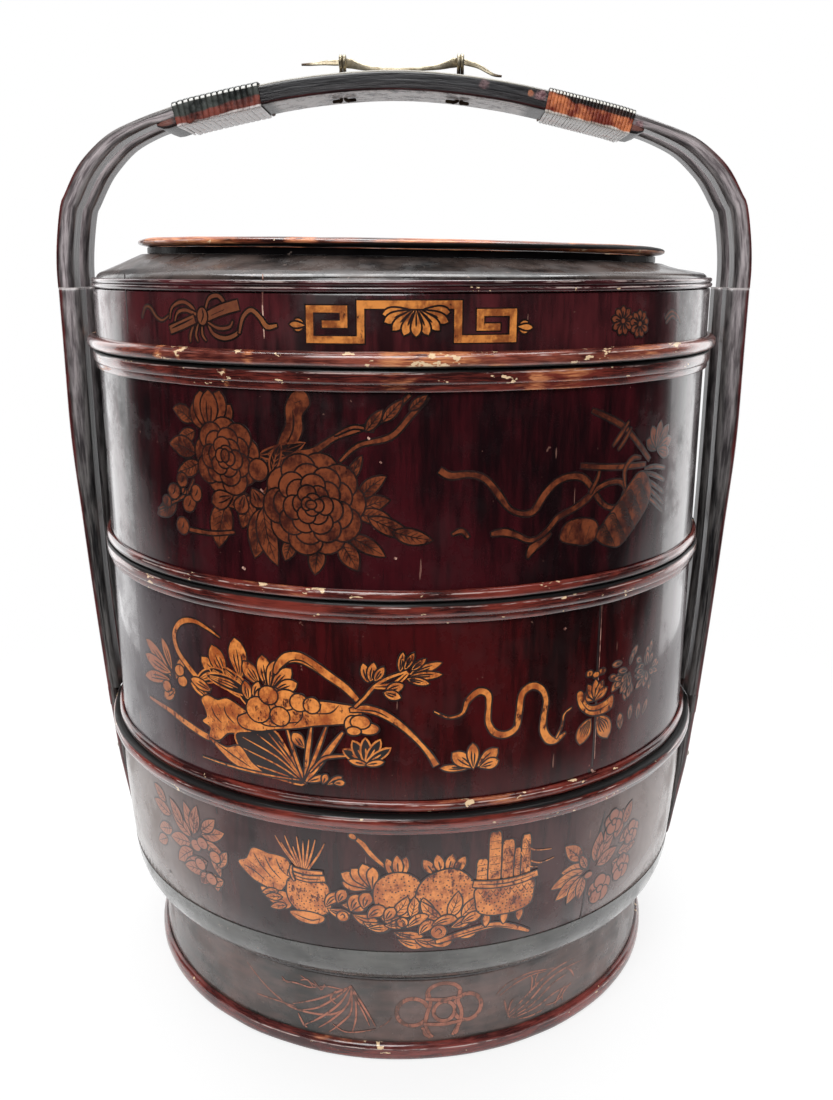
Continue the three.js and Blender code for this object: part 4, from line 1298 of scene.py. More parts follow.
def stroke(points, width, perSpan=4):
    # the outline of a brush line; the width may change along it
    widths = width if isinstance(width, (list, tuple)) else [width * 0.35, width, width, width * 0.35]
    path = smoothCurve(points, perSpan) if len(points) > 2 else points
    left, right = [], []
    for index, (x, y) in enumerate(path):
        x0, y0 = path[max(index - 1, 0)]
        x1, y1 = path[min(index + 1, len(path) - 1)]
        reach = math.hypot(x1 - x0, y1 - y0) or 1
        along = index / (len(path) - 1) * (len(widths) - 1)
        low = min(int(along), len(widths) - 2)
        half = (widths[low] + (widths[low + 1] - widths[low]) * (along - low)) / 2
        left.append((x - (y1 - y0) / reach * half, y + (x1 - x0) / reach * half))
        right.append((x + (y1 - y0) / reach * half, y - (x1 - x0) / reach * half))
    return right + left[::-1]


def inked(lines):
    return [stroke(line, brush["line"]) for line in lines]


class Drawing:
    def __init__(self):
        self.shapes = []

    def lay(self, loop, lines=(), edge=None, fill="gilt"):
        if not turnsLeft(loop):
            loop = loop[::-1]
        edge = brush["edge"] if edge is None else edge
        outer = grown(loop, edge)
        below = [shape["level"] for shape in self.shapes if meets(outer, shape["loop"])]
        self.shapes.append({
            "loop": loop, "outer": outer, "lines": list(lines), "fill": fill, "edge": edge,
            "level": max(below, default=-1) + 1,
        })

    def plates(self):
        # every outline with its height and whether it is gilt or ink
        flat = []
        for index, shape in enumerate(self.shapes):
            base = brush["step"] * (shape["level"] + 1) + index % 7 * brush["apart"]
            other = "ink" if shape["fill"] == "gilt" else "gilt"
            if shape["edge"]:
                flat.append((shape["outer"], base, other))
            flat.append((shape["loop"], base + brush["gilt"], shape["fill"]))
            for line in shape["lines"]:
                loop = line if turnsLeft(line) else line[::-1]
                flat.append((loop, base + brush["lines"], other))
        return flat

    def blob(self, points, lines=(), fill="gilt"):
        count = len(points)
        loop = smoothCurve([points[-1], *points, points[0], points[1]], 4)[4:-4]
        self.lay(loop[:count * 4], inked(lines), None, fill)

    def lobe(self, x, y, across, up, turn=0, lines=()):
        loop = []
        sine, cosine = math.sin(math.radians(turn)), math.cos(math.radians(turn))
        for step in range(18):
            angle = fullTurn * step / 18
            u, v = across * math.cos(angle), up * math.sin(angle)
            loop.append((x + u * cosine - v * sine, y + u * sine + v * cosine))
        self.lay(loop, inked(lines))

    def petal(self, x, y, heading, length, width, bend=0, wideAt=0.55, veins=2, fill="gilt", ribs=0,
              fullness=0.7):
        # from its foot at x, y; it is widest at a share of its length, and a leaf has a rib and side ribs
        steps = 9
        skew = math.log(0.5) / math.log(wideAt)
        spine, spot = [], (x, y)
        for step in range(steps + 1):
            lean = math.radians(heading + bend * (step / steps - 0.5))
            half = width / 2 * abs(math.sin(math.pi * (step / steps) ** skew)) ** fullness
            spine.append((spot[0], spot[1], lean, half))
            spot = (spot[0] + length / steps * math.cos(lean), spot[1] + length / steps * math.sin(lean))

        def at(share, side):
            low = min(int(share * steps), steps - 1)
            part = share * steps - low
            a, b = spine[low], spine[low + 1]
            px, py, lean, half = (p + (q - p) * part for p, q in zip(a, b))
            return px - math.sin(lean) * half * side, py + math.cos(lean) * half * side

        loop = [at(step / steps, 1) for step in range(steps + 1)]
        loop += [at(step / steps, -1) for step in range(steps - 1, 0, -1)]
        lines = []
        for index in range(veins):
            side = (index + 1) / (veins + 1) * 2 - 1
            end = at(0.62 + 0.1 * (index % 2), side * 0.85)
            lines.append(stroke([at(0.08, side), at(0.45, side * 0.95), end], brush["line"], 3))
        if ribs:
            lines.append(stroke([at(0.02, 0), at(0.5, 0), at(0.93, 0)], [0.5, 0.5, 0.2], 3))
            for index in range(ribs):
                share = 0.18 + 0.55 * index / ribs
                for side in (-1, 1):
                    lines.append(stroke([at(share, side * 0.08), at(share + 0.16, side * 0.8)], [0.36, 0.2]))
        self.lay(loop, lines, None, fill)

    def leaf(self, x, y, heading, length, width, bend=0, ribs=4, fill="gilt"):
        self.petal(x, y, heading, length, width, bend, 0.45, 0, fill, ribs, 0.85)

    def each(self, draw, rows, *style):
        # one shape for each row, in one style
        for row in rows:
            draw(*row, *style)

    def fan(self, x, y, rows, *style):
        for row in rows:
            self.petal(x, y, *row, *style)

    def ribbon(self, points, width, lines=(), fill="gilt", edge=None):
        self.lay(stroke(points, width, 5), inked(lines), edge, fill)

    def peony(self, x, y, rings, turn=0):
        # rings of cupped petals from the outside in: how many, how far out, half across, half deep
        for count, out, across, deep in rings:
            for first in (0, 1):
                for index in range(first, count, 2):
                    angle = turn + 360 * index / count
                    lean = math.radians(angle)
                    self.lobe(x + out * math.cos(lean), y + out * math.sin(lean), across, deep, angle + 90)
            turn += 150 / count

    def speckle(self, x, y, across, up, count, seed, size=0.42):
        # ink dots spread over the shape laid last
        spread = random.Random(seed)
        shape = self.shapes[-1]
        placed = []
        for attempt in range(count * 12):
            spot = (x + across * spread.uniform(-1, 1), y + up * spread.uniform(-1, 1))
            clear = all(math.dist(spot, other) > size * 3.2 for other in placed)
            if clear and holds(shape["loop"], spot) and len(placed) < count:
                placed.append(spot)
                dot = []
                for corner in range(6):
                    angle = corner * math.pi / 3
                    dot.append((spot[0] + size * math.cos(angle), spot[1] + size * math.sin(angle)))
                shape["lines"].append(dot)


def lotusPainting():
    # middle tray: lotus, fungus and lotus leaf tied with a ribbon, small lotus, ribbon and sash ball
    art = Drawing()
    art.each(art.petal, ((-116, 196, 150, 26, 7, 20), (-116, 198, 172, 24, 7, -10),
        (-117, 194, 192, 25, 6, 10), (-115, 200, 118, 16, 5, 10), (-112, 196, 60, 14, 5, -10),
        (-113, 190, 214, 12, 6, 0)))
    art.each(art.lobe, ((-107, 196), (-120, 190), (-109, 201)), 3.4, 2.6, 20)
    art.ribbon([(-81, 223.5), (-88, 226.5), (-97, 228.5), (-106, 226), (-111.5, 219), (-109.5, 211),
        (-102, 204.5), (-94, 199), (-88, 196)], [0.5, 1.6, 2.4, 2.6, 2.6, 2.6, 2.2])
    art.ribbon([(-138, 178.5), (-120, 177.6), (-106, 174.6), (-92, 171.6), (-84, 172)], [1.2, 2.4, 3, 3, 2])
    # flower heads
    art.each(art.petal, ((-80, 204, 148, 15, 7, -20), (-78, 204, 118, 17, 9, -10),
        (-70, 205, 98, 20, 9.5, 8), (-60, 204, 128, 13, 7, 0), (-56, 203, 98, 16, 7, 0),
        (-55, 203, 72, 15, 7, 0), (-54, 203, 48, 15, 6.5, 0), (-53, 202, 26, 13, 6, 0)), 0.6, 3)
    art.each(art.petal, ((-96, 199, 20, 17, 6, -30), (-88, 207, -28, 24, 7, -20),
        (-80, 209, -42, 20, 6, -10), (-72, 207, -60, 17, 6, 14), (-90, 203, -12, 26, 6, -24)),
        0.5, 3, "ink")
    art.each(art.petal, ((-90, 192, 158, 12, 5, 20), (-88, 196, 168, 13, 5, 10), (-66, 196, 100, 9, 5, 0),
        (-63, 198, 70, 8, 4, 0)), 0.5, 2)
    # curled leaf on the left
    art.blob([(-92, 186), (-94, 190), (-90, 193), (-84, 192), (-78, 194), (-70, 191), (-64, 187),
        (-63, 181), (-70, 178), (-78, 177), (-84, 172), (-90, 172), (-89, 177), (-94, 179), (-91, 182)],
        [[(-88, 188), (-86, 184), (-82, 181)], [(-80, 190), (-79, 186), (-74, 182)],
        [(-84, 190), (-82, 187)], [(-72, 188), (-72, 184), (-68, 181)], [(-86, 179), (-82, 177)],
        [(-89, 183), (-86, 181)]])
    art.speckle(-78, 184, 14, 9, 26, 4, 0.3)
    # lotus leaf in ink with gilt ribs, its stalks and the ground
    art.blob([(-74, 177), (-66, 180), (-54, 183), (-46, 172), (-38.5, 159), (-52, 159.4), (-62, 160.5),
        (-70, 168)], [[(-39, 159.6), (-52, 170), (-70, 176.5)], [(-39, 159.6), (-50, 172), (-62, 179.5)],
        [(-39, 159.6), (-48, 172), (-56, 181)], [(-40, 159.6), (-52, 166), (-70, 171)],
        [(-40, 159.6), (-54, 162.5), (-66, 164)], [(-39, 160), (-45, 171), (-51, 178)]], "ink")
    art.blob([(-90, 171.5), (-80, 169), (-72, 171.5), (-66, 165), (-60, 160.6), (-70, 160.4), (-78, 163),
        (-84, 167)], [[(-86, 170), (-76, 166), (-66, 162)], [(-80, 168), (-74, 164)],
        [(-74, 169), (-68, 163.5)]])
    art.ribbon([(-95, 160.3), (-66, 159.9), (-38, 160.2)], 0.8)
    art.each(art.ribbon, (([(-38.5, 159), (-43, 172), (-47, 186)], 1.3), ([(-38.5, 159), (-37, 174),
        (-35, 187)], 1.8), ([(-38.5, 160), (-33, 174), (-28, 188)], 1.4), ([(-38, 160), (-30, 172),
        (-20.5, 186)], 2.4), ([(-36, 165), (-30, 172), (-24, 174), (-18, 174.6)], 1.1)))
    art.petal(-38.5, 176.5, 128, 8.5, 5.5, 0, 0.6, 2)
    art.each(art.petal, ((-37, 160, 24, 9), (-28, 159.5, 34, 8), (-30, 160, 70, 5), (-25, 160.5, 8, 5)),
        2.8, 0, 0.6, 1)
    # fungus: a long lobed body
    art.blob([(-72, 186), (-66, 190), (-63, 197), (-60, 202), (-52, 204), (-48, 200), (-40, 199),
        (-30, 200), (-22, 199.5), (-13, 198), (-13, 192), (-22, 190), (-32, 188.5), (-42, 186), (-52, 184),
        (-62, 181.5), (-70, 182)], [[(-66, 189), (-58, 185), (-50, 185.5)], [(-40, 198), (-39, 192),
        (-43, 187)], [(-30, 199), (-31, 193)], [(-22, 199), (-26, 195), (-33, 194)],
        [(-52, 191), (-47, 188), (-41, 189)]])
    art.each(art.lobe, ((-47, 199, 6, 4.6), (-40.5, 198.5, 4, 4), (-34.5, 197.8, 3.6, 3.6),
        (-61, 192, 6, 6), (-55.5, 200, 4.6, 4.2), (-50, 190.5, 4.6, 4.4)), 10)
    art.each(art.lobe, ((-16, 190, 3.4, 4.2), (-9, 188.4, 4.6, 2.6), (-12.5, 191.5, 4.2, 3),
        (-15.5, 187, 3, 1.8)))
    # ribbon over the top and down to the right
    art.ribbon([(-52, 211), (-50, 215), (-46, 219), (-40, 220), (-33, 217), (-26, 212.4), (-19, 207.5),
        (-13, 201)], [1, 3.2, 4.6, 4.6, 3.6, 3.4, 3, 2], [[(-50, 213), (-44, 218), (-38, 218.4),
        (-31, 214)]])
    art.ribbon([(-17, 197), (-10, 198), (-2, 195.5), (6, 189.8), (13, 182.5), (18, 176), (21, 170.6)],
        [1.4, 3.2, 3.2, 2.4, 1.6, 2, 2.6], [[(-14, 197.4), (-6, 197), (0, 194)]])
    # buds on their branch
    art.ribbon([(-15, 198.6), (-10, 204), (-6, 209), (0, 213), (8, 216)], [1, 1.2, 1.2, 0.8])
    art.ribbon([(-6, 208.6), (2, 209.6), (8, 215)], 0.8, (), "ink")
    art.each(art.petal, ((-9, 210.5, 104, 9, 4), (-8, 211, 80, 9, 4), (-6, 211.5, 58, 7.5, 3.4),
        (-1, 207, 20, 8, 4.4), (-2, 206, -18, 7.6, 4), (5, 216, 82, 9, 3), (7, 217, 62, 8.5, 2.8),
        (9, 214.5, 20, 15, 3.6), (9.4, 213.6, 2, 14, 3.4), (8, 212.4, -14, 10, 3),
        (10, 216.5, 40, 8, 2.6)), 0, 0.5, 2)
    art.fan(-10, 171.5, ((150, 12, 4), (120, 12, 4.4), (92, 12, 4), (62, 13, 3.6), (36, 13, 3.2)),
        0, 0.5, 1, "ink")
    art.fan(-10, 171, ((168, 8), (12, 8)), 2.6, 0, 0.5, 1)
    # small lotus and the long ribbon
    art.each(art.petal, ((36, 168, 176, 13, 3), (38, 168, 140, 12.5, 6.4), (40, 168.5, 40, 12, 6),
        (41, 168, 14, 9, 5), (38, 167.5, 92, 12.5, 5)), 0, 0.6, 2)
    art.ribbon([(20, 196.6), (26.5, 193.4), (32.5, 195), (35, 201), (40, 205), (44.2, 203), (44.6, 197),
        (44.5, 190), (47.5, 184.4), (53, 182.6), (58, 185.4), (59.3, 193), (60.5, 201.5), (65.5, 204.6),
        (70.5, 202), (72.8, 196), (71.8, 188), (72, 181.6), (75, 176.6), (79, 175.4), (84, 178)],
        [0.4, 0.7, 1, 2.2, 2.8, 2.6, 1.8, 2.2, 2.8, 2.8, 2.4, 2.6, 2.8, 3, 2.6, 2.2, 2.6, 3.4, 3.8, 2.6,
        0.6])
    art.ribbon([(79, 176.4), (82, 182), (83, 187.5), (87, 190)], [0.6, 0.7, 0.7, 0.4])
    art.fan(101, 190.5, ((150, 9), (118, 10), (90, 10.5), (62, 10), (32, 9)), 3.6, 0, 0.6, 1)
    art.each(art.lobe, ((97, 204.8), (105, 204.2), (101, 203.4)), 2, 1.3)
    art.blob([(90, 196), (93, 196.5), (96, 190), (101, 187.6), (108, 188.4), (113, 190), (112.5, 184),
        (105, 182.6), (98, 184), (92, 189)], [[(92, 193), (97, 186.6), (104, 185), (111, 186.6)]])
    art.each(art.petal, ((99, 181.5, 244, 13, 8, 30), (103, 181.5, 300, 15, 9, -30)), 0.55, 5)
    hand = random.Random("bunch")
    for x, y, reach, count in ((124, 200, 10, 26), (141, 197, 9, 20)):
        for leaf in range(count):
            turn, away = hand.uniform(0, fullTurn), hand.uniform(0.1, 0.9) * reach
            heading = math.degrees(turn) + hand.uniform(-40, 40)
            art.petal(x + math.cos(turn) * away, y + math.sin(turn) * away, heading, hand.uniform(4.4, 7),
                      hand.uniform(2, 2.8))
    art.each(art.petal, ((120, 171, 96, 8, 4), (127, 174, 84, 7, 3), (134, 172, 84, 8, 3),
        (139, 173, 60, 8, 3)))
    return art


def peonyPainting():
    # upper tray: peonies with bud, rock and branches; ribbons, sticks and a scale-patterned tube
    art = Drawing()
    art.ribbon([(-48, 311.5), (-33, 312.4), (-22, 319), (-12, 322.6), (-2, 327), (9, 337)],
        [3, 2.6, 1.8, 1.6, 1.6, 1.2])
    art.ribbon([(-20, 309), (-12, 316), (1, 319.6), (9, 328), (16, 336)], [0.8, 1.4, 2, 1.8, 1.6])
    art.ribbon([(-22, 320), (-14, 323.6), (-6, 322)], 1)
    art.each(art.leaf, ((-9, 322, 52, 11, 4), (-2, 326, 48, 12, 4), (-17, 300, 62, 13, 4),
        (9, 331, 40, 9, 3.4)), 0, 3)
    art.blob([(-48, 309), (-46, 318), (-43, 324), (-43, 331), (-40, 337), (-35, 338), (-32.6, 333),
        (-36, 328), (-36, 322), (-38.6, 316), (-43, 310)], [[(-44, 314), (-40, 322), (-40, 330)],
        [(-39, 333), (-36, 334)]])
    # leaves
    art.each(art.leaf, ((-91, 322, 160, 13, 7, 40), (-90, 318, 200, 12, 6, -20),
        (-90, 308, 172, 17, 9, 30), (-88, 304, 200, 15, 7, -20), (-104, 284, 206, 17, 7, -10),
        (-74, 288, 258, 22, 12, 16), (-60, 290, 200, 13, 7, 30), (-60, 292, 250, 16, 8, 10),
        (-57, 286, 262, 22, 10, -14), (-55, 287, 285, 26, 9, 24), (-42, 274, 252, 10, 6, 0),
        (-30, 272, 262, 13, 7, 0), (-20, 274, 300, 14, 8, 0), (-17, 277, 330, 18, 6.4, -10),
        (-14, 287, 20, 16, 7, -30), (-13, 286, -4, 14, 6, -10), (-8, 285, -22, 20, 6.6, 10),
        (2, 279, -12, 17, 6.4, 10), (-12, 293, 40, 15, 6, -30)))
    art.each(art.leaf, ((-56, 300, 62, 14, 5, -30), (-52, 299, 46, 17, 5, -10), (-52, 297, 26, 16, 5, 20),
        (-56, 310, 18, 22, 5, 20), (-50, 303, 70, 13, 4, -20), (-54, 294, 8, 12, 5, 0),
        (-58, 299, 118, 14, 4.4, 20)), 3, "ink")
    art.ribbon([(-104, 272.6), (-92, 272.4), (-82, 272.6), (-70, 274.6)], [1, 1.6, 1.4, 1])
    art.ribbon([(-118, 279), (-106, 284), (-97, 289), (-92, 296)], 1)
    # berries and blossoms
    for x, y, across, up, turn in (
            (-99.5, 295, 3.2, 3.2, 0), (-105.5, 289, 4, 3.4, 20), (-95.5, 284.6, 4.2, 3.4, 40),
            (-90.8, 290, 3, 3.6, 0), (-100.6, 273.6, 3.8, 3.8, 0), (-111, 283.6, 3, 2.6, 0),
            (-98.6, 290, 1.4, 1.4, 0)):
        art.lobe(x, y, across, up, turn, [[(x - 1, y - 1.4), (x + 0.4, y), (x + 0.8, y + 1.8)]])
    art.fan(-81, 318.5, ((128, 15, 9, -20), (104, 18, 10, -20), (48, 17, 8, 24), (72, 19, 10, 10),
        (90, 18, 9, 0)), 0.6, 2)
    art.peony(-73, 308, [(9, 11.6, 6.2, 5.4), (7, 8, 5, 4.6), (6, 5.2, 4, 3.4), (4, 2.6, 2.8, 2.2)], 12)
    art.lobe(-73, 308.6, 1.8, 2.6, 0, [[(-73.4, 307), (-72.4, 310)]])
    art.lobe(-56.6, 303.6, 4.4, 4.6)
    art.each(art.petal, ((-70, 291, 200, 12, 8), (-64, 292, 250, 9, 7), (-60, 295, 300, 9, 7)), 0, 0.6, 2)
    art.peony(-32, 290, [(10, 16, 7.4, 6.4), (9, 12.2, 5.8, 5.2), (7, 8.6, 5, 4.4), (6, 5.4, 3.8, 3.2),
        (4, 2.6, 2.6, 2)], 5)
    art.lobe(-32.6, 290, 2, 1.6, 0, [[(-34, 290), (-31.4, 290.4)]])
    # sticks, ribbons and the tube
    art.each(art.ribbon, (([(91.5, 327.6), (102, 323.4), (112, 318.6)], [1.6, 2.2, 2.2]), ([(112, 318.6),
        (121, 311), (131, 302)], [2, 1.8, 1.6]), ([(104.6, 311), (109, 315.6), (114, 321)],
        1.5), ([(108, 309), (112, 313), (116, 318)], 1.2), ([(86.5, 303.8), (105, 301.4), (128, 300)],
        [1.8, 2, 1.6]), ([(21.5, 305.4), (26, 303), (34, 303.4), (41, 301), (47, 294), (52, 287.6),
        (58, 285), (63.5, 286), (68.5, 293), (74.5, 298), (82, 299.6), (88.4, 298), (93.4, 293),
        (98.4, 286.6), (103.4, 283.4), (109, 282.4)], [2.6, 2.6, 2, 2.2, 2.6, 1.6, 1.8, 2.6, 2.8, 2.4, 2.4,
        2.6, 2.4, 2, 1.6, 1.4]), ([(27, 277.6), (31, 279), (34, 276)], [0.8, 1.8, 1]), ([(44, 277),
        (50, 277.4), (56, 275.4), (61, 273), (66, 273.6), (71, 277.4), (75.6, 282), (83.4, 285),
        (90, 288.4), (95, 292), (102, 294.4), (110, 294.2), (114, 290.6), (112, 286)],
        [1.4, 3, 2, 1.6, 1.6, 1.8, 2, 2.2, 2.6, 2, 1.8, 1.8, 1.8, 1.4]), ([(61, 265), (63, 269), (68, 272),
        (72, 275)], [0.8, 3.6, 2, 0.6]), ([(92, 291), (96, 297), (97, 300.6)], [1.4, 1.4, 1]),
        ([(114, 291), (113, 299), (118, 304), (124, 303.6)], 1.6)))
    art.blob([(77, 272), (80, 278.6), (88, 280), (96, 277.6), (97.4, 272), (92, 268), (84, 269)],
        [[(81, 272), (83, 277)], [(86, 271), (88, 278)], [(91, 271), (93, 276)]])
    art.fan(137, 306, ((150, 10), (115, 12), (80, 13), (46, 14), (14, 14), (-16, 12)), 5, 0, 0.6, 2)
    for y0, y1 in ((300, 296), (298, 290), (295, 284), (292, 279), (288, 275)):
        art.ribbon([(128, y0 - 2), (136, (y0 + y1) / 2), (146, y1)], 1)
    scales = []
    for row in range(5):
        for column in range(3 + (row > 0)):
            x, y = 103 + row * 5.6 + column * 2.2 - 3, 268 + row * 4.6 - column * 3.2 + 4
            for size in (1.6, 3, 4.4):
                bow = ((-0.7, 0.5), (0.35, 0.8), (1, -0.3))
                scales.append([(x + size * out, y + size * up) for out, up in bow])
    art.blob([(97.5, 272), (100, 267.4), (106, 265), (112, 264.4), (120, 270), (131, 280), (133.5, 288),
        (128, 296), (121, 295.4), (110, 285)], scales, "gilt")
    return art


def fretPainting():
    # lid: a squared fret with a half flower, ribbon-tied scroll and two daisies
    art = Drawing()
    art.lay([
        (-12.2, 374.8), (29.8, 374.8), (29.8, 361), (49.6, 361), (49.6, 368.6), (38.8, 368.6), (38.8, 365.6),
        (45.6, 365.6), (45.6, 362.8), (35.8, 362.8), (35.8, 371.4), (52.6, 371.4), (52.6, 358), (26.6, 358),
        (26.6, 371.6), (-9.2, 371.6), (-9.2, 357.8), (-33, 357.8), (-33, 372.8), (-16, 372.8), (-16, 364),
        (-26.4, 364), (-26.4, 366.8), (-19, 366.8), (-19, 370), (-30, 370), (-30, 360.6), (-12.2, 360.6)])
    for heading, length in (
            (-4, 11), (-172, 11), (-24, 11.6), (-156, 11.4), (-46, 11), (-134, 11), (-68, 10.6), (-112, 10.6),
            (-90, 10.4)):
        art.petal(11.4 + 2.4 * math.cos(math.radians(heading)), 371, heading, length, 3.8, 0, 0.66, 1)
    for x, heading in ((-33.6, 176), (53.2, -4)):
        for turn, length in ((28, 4.6), (-28, 4.6), (0, 6.4)):
            art.petal(x, 364.8 if x < 0 else 364.2, heading + turn, length, 2.2, 0, 0.6, 0)
    # scroll tied with ribbons
    art.each(art.ribbon, (([(-121, 366), (-118, 370.6), (-114, 370.4), (-110, 366.6), (-105.6, 365.4),
        (-100, 368.6)], 0.9), ([(-101, 366), (-99, 371), (-93, 373.4), (-88, 371.8), (-85.6, 368.6),
        (-88, 366)], 1.3), ([(-98, 364), (-96, 368.6), (-91, 370), (-85, 368.4), (-82, 368)],
        1.3), ([(-80, 370), (-77.6, 375), (-73, 376.2), (-70, 373), (-72, 369.6)], 1.5), ([(-79, 365),
        (-76, 360.4), (-70, 358.8), (-64, 361), (-62.6, 364.6)], 1.6), ([(-80, 366), (-74, 363),
        (-68, 363.4), (-66, 366)], 1.1), ([(-63, 361), (-61, 367.6), (-57, 370.6), (-53, 367.6),
        (-50, 364), (-45.6, 364.6)], [0.8, 1.4, 1.6, 1.6, 2, 1]), ([(-86, 365), (-88.6, 360),
        (-89, 356.6)], 1), ([(-84, 364.6), (-85.6, 360), (-84.6, 357)], 1), ([(-82, 364), (-82, 360),
        (-80, 357.4)], 1)))
    art.ribbon([(-101, 361.4), (-94, 363.6), (-86, 366.4)], [3.4, 3.6, 3.6], [[(-100, 362), (-93, 364.4),
        (-87, 366.6)]])
    art.ribbon([(-79, 367.6), (-71, 370.6), (-63, 372.6)], [3.6, 4.2, 4.2], [[(-77, 368), (-70, 370.6)]])
    art.lobe(-81.6, 367.6, 2.6, 3.6, 0, [[(-82.4, 365), (-81, 368), (-81.6, 370.6)]])
    for x, y, size in ((105.7, 365.4, 6.6), (116.4, 363.8, 6.2)):
        for index in range(9):
            heading = 360 * index / 9 + 10
            out, up = math.cos(math.radians(heading)), math.sin(math.radians(heading))
            art.petal(x + out, y + up, heading, size * (0.86 - 0.1 * abs(up)), 2.6, 0, 0.66, 1)
        art.lobe(x, y, 1.1, 1)
    art.ribbon([(136, 365.6), (141, 368.4), (147, 366.6), (151, 363)], 0.8)
    art.ribbon([(137, 363.6), (142, 366.4), (147, 364.8)], 0.7)
    return art


